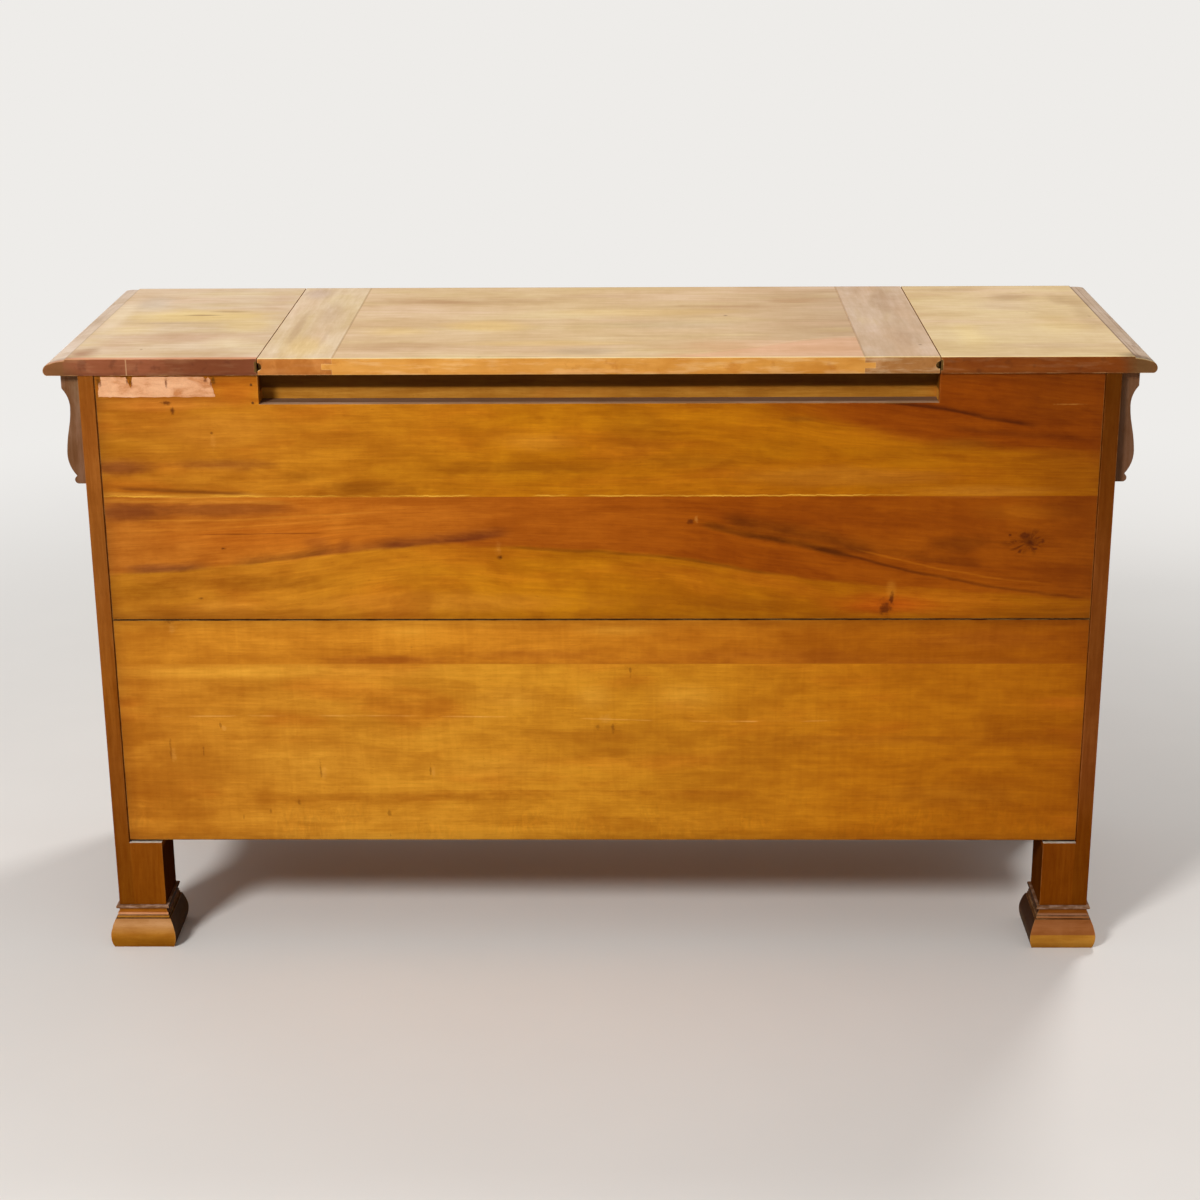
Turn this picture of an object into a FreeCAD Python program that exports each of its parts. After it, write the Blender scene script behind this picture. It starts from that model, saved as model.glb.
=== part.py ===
import FreeCAD, Part
import os
from math import atan2, cos, degrees, hypot, radians, sqrt

from FreeCAD import Vector

# Case: X runs to the right seen from the drawers, Y to the back, Z up from the floor.
body_width = 1280.0
body_depth = 438.0
chest_height = 796.0
cut_overrun = 3.0

# Posts and feet
post_width = 62.0
post_depth = 70.0
foot_height = 58.0
foot_flare = 12.0
foot_bead_height = 4.6
foot_bead_reach = 4.8
foot_cove_height = 6.2
foot_cove_reach = 1.2
foot_fillet_height = 2.9
foot_line_height = 0.8
foot_line_depth = 0.7
foot_upper_fillet_reach = 2.6
foot_lower_fillet_reach = 3.6
foot_shoulder_reach = 5.4
foot_turn_reach = 10.2
foot_turn_height = 27.0
foot_swell_height = 16.0
foot_floor_reach = 8.6

# Top: two fixed slabs with the lid between them
top_thickness = 20.4
top_overhang = 42.0
top_rear_overhang = 1.5
edge_width = 28.0
edge_quirk = 2.0
edge_quirk_run = 0.7
edge_slope_drop = 4.2
edge_nose_run = 7.0
edge_tip_drop = 14.6
edge_under_run = 4.0

# Lid
lid_opening_width = 837.4
lid_end_gap = 1.2
lid_seat_gap = 0.3
lid_clamp_width = 91.5
tongue_length = 13.0
tongue_thickness = 7.0
lid_pivot_inset = 20.0
lid_swing = 105.0

# Brass pivots of the lid
pin_radius = 4.0
pin_running_gap = 0.08
pin_reach = 4.6
pin_pocket_gap = 0.6
pin_plate_length = 60.0
pin_plate_height = 13.0
pin_plate_thickness = 2.5
eye_plate_length = 44.0
eye_plate_behind_pin = 11.0
eye_plate_height = 13.0
eye_plate_thickness = 3.0
end_groove_radius = 5.0

# Mirror under the lid
mirror_frame_width = 34.0
mirror_frame_thickness = 11.0
mirror_frame_side_margin = 45.0
mirror_frame_rear_margin = 24.0
mirror_frame_front_margin = 16.0
mirror_glass_thickness = 4.0
mirror_rebate = 8.0
mirror_backing_gap = 3.0
mirror_frame_bevel = 5.0

# Back
back_panel_thickness = 10.0
back_panel_set_in = 2.0
back_panel_side_gap = 0.6
back_panel_joint_gap = 0.8
back_panel_foot_gap = 3.5
back_stile_width = 19.0
back_joint_height = 457.0
case_bottom_height = 147.5
recess_depth = 34.0
recess_height = 37.3
recess_ledge_thickness = 20.0
recess_cheek_width = 42.0

# Inner boards
side_panel_thickness = 14.0
side_panel_set_in = 10.0
side_panel_housing = 8.0
bottom_board_thickness = 12.0
inner_back_thickness = 16.0
partition_thickness = 18.0
well_bottom_thickness = 12.0
frieze_panel_thickness = 18.0
frieze_field_margin = 20.0
frieze_field_depth = 2.5

# Front rails, their faces set in a little behind the posts
front_set_in = 2.0
rail_depth = 24.0
bottom_rail_height = 28.5
rail_height = 22.0
top_rail_height = 18.0
frieze_opening_height = 117.6
tenon_length = 14.0
tenon_thickness = 10.0
tenon_shoulder = 3.0

# Runners
runner_width = 18.0
runner_thickness = 16.0
guide_height = 26.0

# Drawers
drawer_gap = 1.2
drawer_seat_gap = 0.3
drawer_front_thickness = 20.0
drawer_side_thickness = 10.0
drawer_back_thickness = 10.0
drawer_bottom_thickness = 6.0
drawer_bottom_lift = 8.0
drawer_groove_depth = 5.0
drawer_side_drop = 3.0
drawer_back_drop = 12.0
drawer_rear_room = 8.0
tail_length = 14.0
tail_flare = 3.0
tail_pitch = 38.0
tail_root_share = 0.5

# Corbels
corbel_drop = 141.0
corbel_reach = 24.0
corbel_edge_inset = 12.0

# Knobs
knob_radius = 17.0
knob_length = 27.0
knob_spacing = 660.0

# Bulges of shallow curves, as shares of their chords
edge_slope_share = 0.03
foot_cove_share = -0.2
foot_slope_share = 0.03
half_round_share = 0.4

# Corbel outline: reach share, drop share and bulge of the stretch that leads on to the next stop
corbel_outline_shares = (
    (0.0, 0.0, 0.0),
    (0.0, 1.0, 0.0),
    (0.47, 1.0, 0.42),
    (0.53, 0.93, 0.10),
    (0.965, 0.71, 0.02),
    (0.77, 0.49, -0.025),
    (0.63, 0.31, -0.095),
    (1.0, 0.135, 0.0),
    (1.0, 0.0, 0.0),
)

# Knob outline: radius share and length share
knob_outline_shares = (
    (0.0, 0.0),
    (0.48, 0.0),
    (1.0, 0.68),
    (0.66, 1.0),
    (0.0, 1.0),
)

# Places worked out from the sizes above
half_width = body_width / 2
total_depth = top_overhang + body_depth + foot_flare
rear_y = total_depth / 2 - foot_flare
front_y = rear_y - body_depth
top_tip_x = half_width + top_overhang
top_tip_y = front_y - top_overhang
top_rear_y = rear_y + top_rear_overhang
under_top = chest_height - top_thickness
post_inner_x = half_width - post_width
rear_post_front_y = rear_y - post_depth
front_post_rear_y = front_y + post_depth
slab_inner_x = lid_opening_width / 2
lid_end_x = slab_inner_x - lid_end_gap
lid_joint_x = lid_end_x - lid_clamp_width
lid_thickness = top_thickness - lid_seat_gap
lid_bottom = chest_height - lid_thickness
pivot_y = top_rear_y - lid_pivot_inset
pivot_z = chest_height - lid_thickness / 2
recess_face_y = rear_y - recess_depth
recess_floor = under_top - recess_height
inner_back_front_y = recess_face_y - inner_back_thickness
rebate_depth = back_panel_set_in + back_panel_thickness
panel_inner_y = rear_y - rebate_depth
side_panel_outer_x = half_width - side_panel_set_in
side_panel_inner_x = side_panel_outer_x - side_panel_thickness
rail_front_y = front_y + front_set_in
rail_rear_y = rail_front_y + rail_depth
bottom_rail_top = case_bottom_height + bottom_rail_height
top_rail_bottom = under_top - top_rail_height
frieze_rail_top = top_rail_bottom - frieze_opening_height
frieze_rail_bottom = frieze_rail_top - rail_height
long_opening_height = (frieze_rail_bottom - bottom_rail_top - rail_height) / 2
middle_rail_bottom = bottom_rail_top + long_opening_height
middle_rail_top = middle_rail_bottom + rail_height
partition_outer_x = slab_inner_x
partition_inner_x = partition_outer_x - partition_thickness


def box(x0, x1, y0, y1, z0, z1):
    return Part.makeBox(x1 - x0, y1 - y0, z1 - z0, Vector(x0, y0, z0))


def mirrored(shape):
    return shape.mirror(Vector(), Vector(1, 0, 0))


def outline_face(stops):
    """Face in the XZ plane; a positive bulge share swells outwards on a counter-clockwise outline."""
    edges = []
    for place, (u, z, bulge) in enumerate(stops):
        next_u, next_z, _ = stops[(place + 1) % len(stops)]
        start = Vector(u, 0, z)
        end = Vector(next_u, 0, next_z)
        if bulge == 0:
            edges.append(Part.LineSegment(start, end).toShape())
            continue
        outwards = Vector(next_z - z, 0, u - next_u)
        middle = (start + end) / 2 + outwards * bulge
        edges.append(Part.Arc(start, middle, end).toShape())
    return Part.Face(Part.Wire(edges))


def upright_bulge(run, rise):
    """Bulge share of an arc over this run and rise that stands upright at its outermost end."""
    radius = (run * run + rise * rise) / (2 * run)
    chord = hypot(run, rise)
    return (radius - sqrt(radius * radius - chord * chord / 4)) / chord


def bar_along_y(stops, y0, y1):
    face = outline_face(stops)
    face.translate(Vector(0, y0, 0))
    return face.extrude(Vector(0, y1 - y0, 0))


def bar_along_x(stops, x0, x1):
    """The outline's own width runs along Y here."""
    bar = bar_along_y(stops, 0, x1 - x0)
    bar.rotate(Vector(), Vector(0, 0, 1), 90)
    bar.translate(Vector(x1, 0, 0))
    return bar


def save(name, *solids):
    shape = solids[0] if len(solids) == 1 else Part.makeCompound(list(solids))
    shape.exportStep(os.path.join("parts", name + ".step"))


def both_sides(name, right_shape):
    save(name + "_right", right_shape)
    save(name + "_left", mirrored(right_shape))


def moulded_edge(tip):
    """Stops from the underside round the nose to the flat top; tip is the outermost place."""
    top = chest_height
    slope_low = top - edge_quirk - edge_slope_drop
    tip_z = top - edge_tip_drop
    return (
        (tip - edge_under_run, under_top, upright_bulge(edge_under_run, tip_z - under_top)),
        (tip, tip_z, upright_bulge(edge_nose_run, slope_low - tip_z)),
        (tip - edge_nose_run, slope_low, edge_slope_share),
        (tip - edge_width + edge_quirk_run, top - edge_quirk, 0.0),
        (tip - edge_width, top, 0.0),
    )


def front_edge_bar(x0, x1, underside):
    """Board with a square rear edge and the moulded edge in front, turned so that its front faces -Y."""
    moulded = [(u, max(z, underside), bulge) for u, z, bulge in moulded_edge(-top_tip_y)]
    stops = [(-top_rear_y, underside, 0.0)] + moulded + [(-top_rear_y, chest_height, 0.0)]
    bar = bar_along_x(stops, -x1, -x0)
    bar.rotate(Vector(), Vector(0, 0, 1), 180)
    return bar


def top_slab():
    side_stops = [(slab_inner_x, under_top, 0.0)]
    side_stops += moulded_edge(top_tip_x)
    side_stops += [(slab_inner_x, chest_height, 0.0)]
    side_bar = bar_along_y(side_stops, top_tip_y, top_rear_y)
    slab = side_bar.common(front_edge_bar(slab_inner_x, top_tip_x, under_top))
    return slab.cut(pin_plate())


def pin_plate():
    half = pin_plate_height / 2
    return box(
        slab_inner_x, slab_inner_x + pin_plate_thickness,
        top_rear_y - pin_plate_length, top_rear_y,
        pivot_z - half, pivot_z + half,
    )


def hinge_pin():
    pin = Part.makeCylinder(
        pin_radius, pin_reach + lid_end_gap + pin_plate_thickness,
        Vector(lid_end_x - pin_reach, pivot_y, pivot_z), Vector(1, 0, 0),
    )
    return pin_plate().fuse(pin).removeSplitter()


def eye_plate_block():
    half = eye_plate_height / 2
    rear = pivot_y + eye_plate_behind_pin
    return box(
        lid_end_x - eye_plate_thickness, lid_end_x,
        rear - eye_plate_length, rear,
        pivot_z - half, pivot_z + half,
    )


def hinge_eye():
    bore = Part.makeCylinder(
        pin_radius + pin_running_gap, eye_plate_thickness + 2 * cut_overrun,
        Vector(lid_end_x - eye_plate_thickness - cut_overrun, pivot_y, pivot_z), Vector(1, 0, 0),
    )
    return eye_plate_block().cut(bore)


def lid_tongue():
    half = tongue_thickness / 2
    strip = box(
        lid_joint_x, lid_joint_x + tongue_length,
        top_tip_y, top_rear_y, pivot_z - half, pivot_z + half,
    )
    return strip.common(front_edge_bar(lid_joint_x, lid_end_x, lid_bottom))


def lid_panel():
    panel = front_edge_bar(-lid_joint_x, lid_joint_x, lid_bottom)
    return panel.fuse([lid_tongue(), mirrored(lid_tongue())]).removeSplitter()


def lid_clamp():
    clamp = front_edge_bar(lid_joint_x, lid_end_x, lid_bottom)
    groove_length = lid_pivot_inset + pin_radius
    groove = Part.makeCylinder(
        end_groove_radius, groove_length + cut_overrun,
        Vector(lid_end_x, top_rear_y - groove_length, pivot_z), Vector(0, 1, 0),
    )
    pocket = Part.makeCylinder(
        pin_radius + pin_pocket_gap, pin_reach + pin_pocket_gap,
        Vector(lid_end_x, pivot_y, pivot_z), Vector(-1, 0, 0),
    )
    return clamp.cut([lid_tongue(), groove, pocket, eye_plate_block()])


def mirror_places():
    half_x = partition_inner_x - mirror_frame_side_margin
    rear = inner_back_front_y - mirror_frame_rear_margin
    front = rail_rear_y + mirror_frame_front_margin
    return half_x, front, rear


def mirror_frame():
    """Four mitred members with a bevelled inner arris and a rebate behind it for the glass."""
    half_x, front, rear = mirror_places()
    low = lid_bottom - mirror_frame_thickness
    block = box(-half_x, half_x, front, rear, low, lid_bottom)
    width = mirror_frame_width
    sight = box(-half_x + width, half_x - width, front + width, rear - width, low, lid_bottom)
    opening = sight.fuse(bevelled_rim(half_x - width, front + width, rear - width, low))
    frame = block.cut([opening, mirror_bed()])
    return [frame.common(wedge) for wedge in mitre_wedges(half_x, front, rear, low)]


def bevelled_rim(half_x, front, rear, low):
    """Sloping sides that widen the sight opening towards its face."""
    bevel = mirror_frame_bevel
    face_wire = rectangle_wire(half_x + bevel, front - bevel, rear + bevel, low)
    deep_wire = rectangle_wire(half_x, front, rear, low + bevel)
    return Part.makeLoft([face_wire, deep_wire], True, True)


def rectangle_wire(half_x, front, rear, z):
    corners = [(-half_x, front), (half_x, front), (half_x, rear), (-half_x, rear), (-half_x, front)]
    return Part.makePolygon([Vector(x, y, z) for x, y in corners])


def mitre_wedges(half_x, front, rear, low):
    reach = (rear - front) / 2
    middle_y = (rear + front) / 2
    corners = {
        "front": [(-half_x, front), (half_x, front), (half_x - reach, middle_y), (-half_x + reach, middle_y)],
        "rear": [(-half_x, rear), (half_x, rear), (half_x - reach, middle_y), (-half_x + reach, middle_y)],
        "right": [(half_x, front), (half_x, rear), (half_x - reach, middle_y)],
        "left": [(-half_x, front), (-half_x, rear), (-half_x + reach, middle_y)],
    }
    wedges = []
    for places in corners.values():
        wire = Part.makePolygon([Vector(x, y, low) for x, y in places + places[:1]])
        wedges.append(Part.Face(wire).extrude(Vector(0, 0, mirror_frame_thickness)))
    return wedges


def mirror_bed():
    """Room for the glass behind the frame's sight edge, up to the lid."""
    half_x, front, rear = mirror_places()
    lap = mirror_frame_width - mirror_rebate
    low = lid_bottom - mirror_backing_gap - mirror_glass_thickness
    return box(-half_x + lap, half_x - lap, front + lap, rear - lap, low, lid_bottom)


def mirror_glass():
    bed = mirror_bed().BoundBox
    low = bed.ZMin
    return box(bed.XMin, bed.XMax, bed.YMin, bed.YMax, low, low + mirror_glass_thickness)


def foot_side(half_leg):
    """Stops up one side of a foot, from the floor to the leg."""
    bead_low = foot_height - foot_bead_height
    cove_low = bead_low - foot_cove_height
    upper_low = cove_low - foot_fillet_height
    lower_high = upper_low - foot_line_height
    lower_low = lower_high - foot_fillet_height
    shoulder = lower_low - foot_line_height
    upper = half_leg + foot_upper_fillet_reach
    lower = half_leg + foot_lower_fillet_reach
    under_swell = upright_bulge(foot_flare - foot_floor_reach, foot_swell_height)
    over_swell = upright_bulge(foot_flare - foot_turn_reach, foot_turn_height - foot_swell_height)
    return (
        (half_leg + foot_floor_reach, 0.0, under_swell),
        (half_leg + foot_flare, foot_swell_height, over_swell),
        (half_leg + foot_turn_reach, foot_turn_height, foot_slope_share),
        (half_leg + foot_shoulder_reach, shoulder, 0.0),
        (lower - foot_line_depth, shoulder, 0.0),
        (lower - foot_line_depth, lower_low, 0.0),
        (lower, lower_low, 0.0),
        (lower, lower_high, 0.0),
        (upper - foot_line_depth, lower_high, 0.0),
        (upper - foot_line_depth, upper_low, 0.0),
        (upper, upper_low, 0.0),
        (upper, cove_low, foot_cove_share),
        (half_leg + foot_cove_reach, bead_low, 0.0),
        (half_leg + foot_bead_reach / 2, bead_low, half_round_share),
        (half_leg + foot_bead_reach / 2, foot_height, 0.0),
    )


def foot_outline(half_leg):
    side = foot_side(half_leg)
    far_side = []
    for place in range(len(side) - 1, -1, -1):
        bulge = side[place - 1][2] if place > 0 else 0.0
        far_side.append((-side[place][0], side[place][1], bulge))
    return list(side) + far_side


def foot_block():
    """A moulded block, its section the same on all four sides and mitred at the corners."""
    half_x = post_width / 2
    half_y = post_depth / 2
    reach = foot_flare + cut_overrun
    along_y = bar_along_y(foot_outline(half_x), -half_y - reach, half_y + reach)
    along_x = bar_along_x(foot_outline(half_y), -half_x - reach, half_x + reach)
    return along_y.common(along_x)


def foot(y_middle):
    block = foot_block()
    block.translate(Vector(half_width - post_width / 2, y_middle, 0))
    return block


def post_block(y0, y1):
    return box(post_inner_x, half_width, y0, y1, foot_height, under_top)


def rear_post():
    post = post_block(rear_post_front_y, rear_y)
    rebate = box(
        post_inner_x - cut_overrun, half_width - back_stile_width,
        rear_y - rebate_depth, rear_y + cut_overrun,
        case_bottom_height, under_top + cut_overrun,
    )
    return post.cut([rebate, side_panel()])


def front_post():
    post = post_block(front_y, front_post_rear_y)
    return post.cut([side_panel()] + [tenon(low, high) for low, high in rail_levels().values()])


def side_panel():
    return box(
        side_panel_inner_x, side_panel_outer_x,
        front_post_rear_y - side_panel_housing, rear_post_front_y + side_panel_housing,
        case_bottom_height, under_top,
    )


def rail_levels():
    return {
        "bottom_rail": (case_bottom_height, bottom_rail_top),
        "middle_rail": (middle_rail_bottom, middle_rail_top),
        "frieze_rail": (frieze_rail_bottom, frieze_rail_top),
        "top_rail": (top_rail_bottom, under_top),
    }


def tenon(low, high):
    middle_y = (rail_front_y + rail_rear_y) / 2
    half = tenon_thickness / 2
    return box(
        post_inner_x, post_inner_x + tenon_length,
        middle_y - half, middle_y + half, low + tenon_shoulder, high - tenon_shoulder,
    )


def front_rail(low, high):
    rail = box(-post_inner_x, post_inner_x, rail_front_y, rail_rear_y, low, high)
    return rail.fuse([tenon(low, high), mirrored(tenon(low, high))]).removeSplitter()


def corbel(thickness):
    """Stands on the YZ plane, reaching out along +X from its seat and centred on Y."""
    stops = []
    for reach_share, drop_share, bulge in corbel_outline_shares:
        stops.append((corbel_reach * reach_share, under_top - corbel_drop * drop_share, bulge))
    return bar_along_y(stops, -thickness / 2, thickness / 2)


def side_corbel(y_middle):
    shape = corbel(post_depth - 2 * corbel_edge_inset)
    shape.translate(Vector(half_width, y_middle, 0))
    return shape


def face_corbel():
    shape = corbel(post_width - 2 * corbel_edge_inset)
    shape.rotate(Vector(), Vector(0, 0, 1), -90)
    shape.translate(Vector(half_width - post_width / 2, front_y, 0))
    return shape


def back_panels():
    half = half_width - back_stile_width - back_panel_side_gap
    outer_y = rear_y - back_panel_set_in
    half_joint = back_panel_joint_gap / 2
    upper = box(-half, half, panel_inner_y, outer_y, back_joint_height + half_joint, under_top)
    recess = box(
        -slab_inner_x, slab_inner_x, panel_inner_y - cut_overrun, outer_y + cut_overrun,
        recess_floor, under_top + cut_overrun,
    )
    low = case_bottom_height + back_panel_foot_gap
    lower = box(-half, half, panel_inner_y, outer_y, low, back_joint_height - half_joint)
    save("back_panel_upper", upper.cut(recess))
    save("back_panel_lower", lower)


def inner_back():
    return box(
        -post_inner_x, post_inner_x, inner_back_front_y, recess_face_y,
        frieze_rail_top, under_top,
    )


def recess_ledge():
    return box(
        -post_inner_x, post_inner_x, recess_face_y, panel_inner_y,
        recess_floor - recess_ledge_thickness, recess_floor,
    )


def recess_cheek():
    return box(
        slab_inner_x, slab_inner_x + recess_cheek_width, recess_face_y, panel_inner_y,
        recess_floor, under_top,
    )


def partition():
    board = box(
        partition_inner_x, partition_outer_x, rail_front_y, inner_back_front_y,
        frieze_rail_top, under_top,
    )
    return board.cut(front_rail(top_rail_bottom, under_top))


def well_bottom():
    return box(
        -partition_inner_x, partition_inner_x,
        rail_front_y + frieze_panel_thickness, inner_back_front_y,
        frieze_rail_top, frieze_rail_top + well_bottom_thickness,
    )


def frieze_panel():
    rear = rail_front_y + frieze_panel_thickness
    board = box(-partition_inner_x, partition_inner_x, rail_front_y, rear, frieze_rail_top, top_rail_bottom)
    margin = frieze_field_margin
    field = box(
        -partition_inner_x + margin, partition_inner_x - margin,
        rail_front_y - cut_overrun, rail_front_y + frieze_field_depth,
        frieze_rail_top + margin, top_rail_bottom - margin,
    )
    return board.cut(field)


def bottom_board():
    board = box(
        -side_panel_inner_x, side_panel_inner_x, rail_rear_y, panel_inner_y,
        case_bottom_height, case_bottom_height + bottom_board_thickness,
    )
    for y0, y1 in ((rear_post_front_y, rear_y), (front_y, front_post_rear_y)):
        corner = box(post_inner_x, half_width, y0, y1, 0, under_top)
        board = board.cut([corner, mirrored(corner)])
    return board


def outer_runner(top, rear):
    """Bears a drawer's side; its guide fills the room between the posts and keeps the drawer straight."""
    low = top - runner_thickness
    strip = box(post_inner_x - runner_width, post_inner_x, rail_rear_y, rear, low, top)
    guide = box(
        post_inner_x, side_panel_inner_x, front_post_rear_y, rear_post_front_y,
        low, top + guide_height,
    )
    return strip.fuse(guide).removeSplitter()


def inner_runner(top, rear):
    return box(
        partition_outer_x, partition_outer_x + runner_width, rail_rear_y, rear,
        top - runner_thickness, top,
    )


def drawer_runners():
    right = [
        outer_runner(bottom_rail_top, panel_inner_y),
        outer_runner(middle_rail_top, panel_inner_y),
        outer_runner(frieze_rail_top, inner_back_front_y),
        inner_runner(frieze_rail_top, inner_back_front_y),
    ]
    save("drawer_runners", *(right + [mirrored(shape) for shape in right]))


def tails(x0, x1, root_y, low, high):
    """Dovetails in a row, narrow at the root and wide at the end that points to the front."""
    count = max(2, round((high - low) / tail_pitch))
    pitch = (high - low) / count
    half_root = pitch * tail_root_share / 2
    half_end = half_root + tail_flare
    prisms = []
    for place in range(count):
        middle = low + pitch * (place + 1 / 2)
        corners = (
            Vector(x0, root_y, middle - half_root),
            Vector(x0, root_y - tail_length, middle - half_end),
            Vector(x0, root_y - tail_length, middle + half_end),
            Vector(x0, root_y, middle + half_root),
            Vector(x0, root_y, middle - half_root),
        )
        prisms.append(Part.Face(Part.makePolygon(corners)).extrude(Vector(x1 - x0, 0, 0)))
    return prisms


def knob(x_middle, z_middle):
    stops = [(knob_radius * r, knob_length * z, 0.0) for r, z in knob_outline_shares]
    shape = outline_face(stops).revolve(Vector(), Vector(0, 0, 1), 360)
    shape.rotate(Vector(), Vector(1, 0, 0), 90)
    shape.translate(Vector(x_middle, rail_front_y, z_middle))
    return shape


def drawer(name, x0, x1, opening_low, opening_high, rear, knob_places):
    low = opening_low + drawer_seat_gap
    high = opening_high - drawer_gap
    left = x0 + drawer_gap
    right = x1 - drawer_gap
    front_back_y = rail_front_y + drawer_front_thickness
    side_high = high - drawer_side_drop
    left_tails = tails(left, left + drawer_side_thickness, front_back_y, low, side_high)
    right_tails = tails(right - drawer_side_thickness, right, front_back_y, low, side_high)
    groove_low = low + drawer_bottom_lift
    inner_left = left + drawer_side_thickness
    inner_right = right - drawer_side_thickness
    bottom = box(
        inner_left - drawer_groove_depth, inner_right + drawer_groove_depth,
        front_back_y - drawer_groove_depth, rear,
        groove_low, groove_low + drawer_bottom_thickness,
    )
    front = box(left, right, rail_front_y, front_back_y, low, high)
    front = front.cut(left_tails + right_tails + [bottom])
    sides = []
    for x_low, prisms in ((left, left_tails), (inner_right, right_tails)):
        side = box(x_low, x_low + drawer_side_thickness, front_back_y, rear, low, side_high)
        sides.append(side.fuse(prisms).removeSplitter().cut(bottom))
    back = box(
        inner_left, inner_right, rear - drawer_back_thickness, rear,
        groove_low + drawer_bottom_thickness, high - drawer_back_drop,
    )
    knobs = [knob(x, (low + high) / 2) for x in knob_places]
    save(name + "_front", front)
    save(name + "_back", back)
    save(name + "_bottom", bottom)
    save(name + "_knobs", *knobs)
    return sides


def drawers():
    rear = panel_inner_y - drawer_rear_room
    half_knobs = knob_spacing / 2
    long_levels = {
        "lower_drawer": (bottom_rail_top, middle_rail_bottom),
        "upper_drawer": (middle_rail_top, frieze_rail_bottom),
    }
    for name, (low, high) in long_levels.items():
        sides = drawer(name, -post_inner_x, post_inner_x, low, high, rear, (-half_knobs, half_knobs))
        save(name + "_side_left", sides[0])
        save(name + "_side_right", sides[1])
    small_rear = inner_back_front_y - drawer_rear_room
    middle = (partition_outer_x + post_inner_x) / 2
    small_places = {
        "left_frieze_drawer": (-post_inner_x, -partition_outer_x, -middle),
        "right_frieze_drawer": (partition_outer_x, post_inner_x, middle),
    }
    for name, (x0, x1, knob_x) in small_places.items():
        sides = drawer(name, x0, x1, frieze_rail_top, top_rail_bottom, small_rear, (knob_x,))
        save(name + "_sides", *sides)


def lid_clearance():
    """Room left between the lid's tail and the recess face at the end of the swing."""
    reach = hypot(lid_pivot_inset, lid_thickness / 2)
    start = degrees(atan2(lid_thickness / 2, lid_pivot_inset))
    tail_y = pivot_y + reach * cos(radians(lid_swing + start))
    return tail_y - recess_face_y, pivot_z - reach - recess_floor


os.makedirs("parts", exist_ok=True)

rear_post_y = rear_y - post_depth / 2
front_post_y = front_y + post_depth / 2

both_sides("rear_post", rear_post())
both_sides("front_post", front_post())
both_sides("rear_foot", foot(rear_post_y))
both_sides("front_foot", foot(front_post_y))
both_sides("side_panel", side_panel())
both_sides("top_slab", top_slab())
both_sides("well_partition", partition())
both_sides("lid_clamp", lid_clamp())

rear_corbel = side_corbel(rear_post_y)
front_corbels = [side_corbel(front_post_y), face_corbel()]
save("rear_corbels", rear_corbel, mirrored(rear_corbel))
save("front_corbels", *(front_corbels + [mirrored(shape) for shape in front_corbels]))

back_panels()
save("inner_back_rail", inner_back())
save("recess_ledge", recess_ledge())
save("recess_cheeks", recess_cheek(), mirrored(recess_cheek()))
save("well_bottom", well_bottom())
save("frieze_panel", frieze_panel())
save("bottom_board", bottom_board())
drawer_runners()
for rail_name, (rail_low, rail_high) in rail_levels().items():
    save(rail_name, front_rail(rail_low, rail_high))

save("lid_panel", lid_panel())
save("hinge_pins", hinge_pin(), mirrored(hinge_pin()))
save("hinge_eyes", hinge_eye(), mirrored(hinge_eye()))
save("mirror_frame", *mirror_frame())
save("mirror_glass", mirror_glass())
drawers()

tail_room, floor_room = lid_clearance()
print(f"lid tail to recess face {tail_room:.2f} mm, to recess floor {floor_room:.2f} mm")
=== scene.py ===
import math
import random

import bmesh
import bpy
from mathutils import Matrix, Vector


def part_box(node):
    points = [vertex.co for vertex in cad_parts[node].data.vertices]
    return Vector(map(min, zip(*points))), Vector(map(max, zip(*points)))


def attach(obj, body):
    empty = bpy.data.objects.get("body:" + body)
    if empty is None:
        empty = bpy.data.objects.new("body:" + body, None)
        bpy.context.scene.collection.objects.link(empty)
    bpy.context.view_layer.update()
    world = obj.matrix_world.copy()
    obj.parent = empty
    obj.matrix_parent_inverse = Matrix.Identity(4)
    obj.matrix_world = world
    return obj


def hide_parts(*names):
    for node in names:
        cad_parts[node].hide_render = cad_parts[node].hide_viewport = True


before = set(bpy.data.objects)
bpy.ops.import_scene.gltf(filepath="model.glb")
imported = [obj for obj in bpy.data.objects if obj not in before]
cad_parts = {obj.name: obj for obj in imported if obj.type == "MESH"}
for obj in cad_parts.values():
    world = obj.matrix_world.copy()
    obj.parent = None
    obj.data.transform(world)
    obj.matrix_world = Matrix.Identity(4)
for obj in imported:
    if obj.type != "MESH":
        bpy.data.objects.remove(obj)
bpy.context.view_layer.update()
print("frame loaded with", len(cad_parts), "nodes")

# Directions used all through: X runs along the chest, +Y is the panelled back, Z is up, all in metres


# Small helpers for building shader nodes
def paint(red, green, blue):  # a screen colour, 0 to 255, as Blender's own linear colour
    shares = [value / 255 for value in (red, green, blue)]
    return [s / 12.92 if s <= 0.04045 else ((s + 0.055) / 1.055) ** 2.4 for s in shares] + [1.0]


def plug(tree, value, socket):
    if isinstance(value, bpy.types.NodeSocket):
        tree.links.new(value, socket)
    else:
        socket.default_value = value


def addNode(tree, kind, sockets=None, **settings):
    made = tree.nodes.new(kind)
    for name, value in settings.items():
        setattr(made, name, value)
    for name, value in (sockets or {}).items():
        plug(tree, value, made.inputs[name])
    return made


def calc(tree, operation, *values):
    made = addNode(tree, "ShaderNodeMath", operation=operation)
    for place, value in enumerate(values):
        plug(tree, value, made.inputs[place])
    return made.outputs[0]


def vector(tree, **axes):
    return addNode(tree, "ShaderNodeCombineXYZ", axes).outputs[0]


def vectorCalc(tree, operation, sockets):
    made = addNode(tree, "ShaderNodeVectorMath", sockets, operation=operation)
    return made.outputs["Value" if operation in ("LENGTH", "DOT_PRODUCT") else "Vector"]


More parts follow.
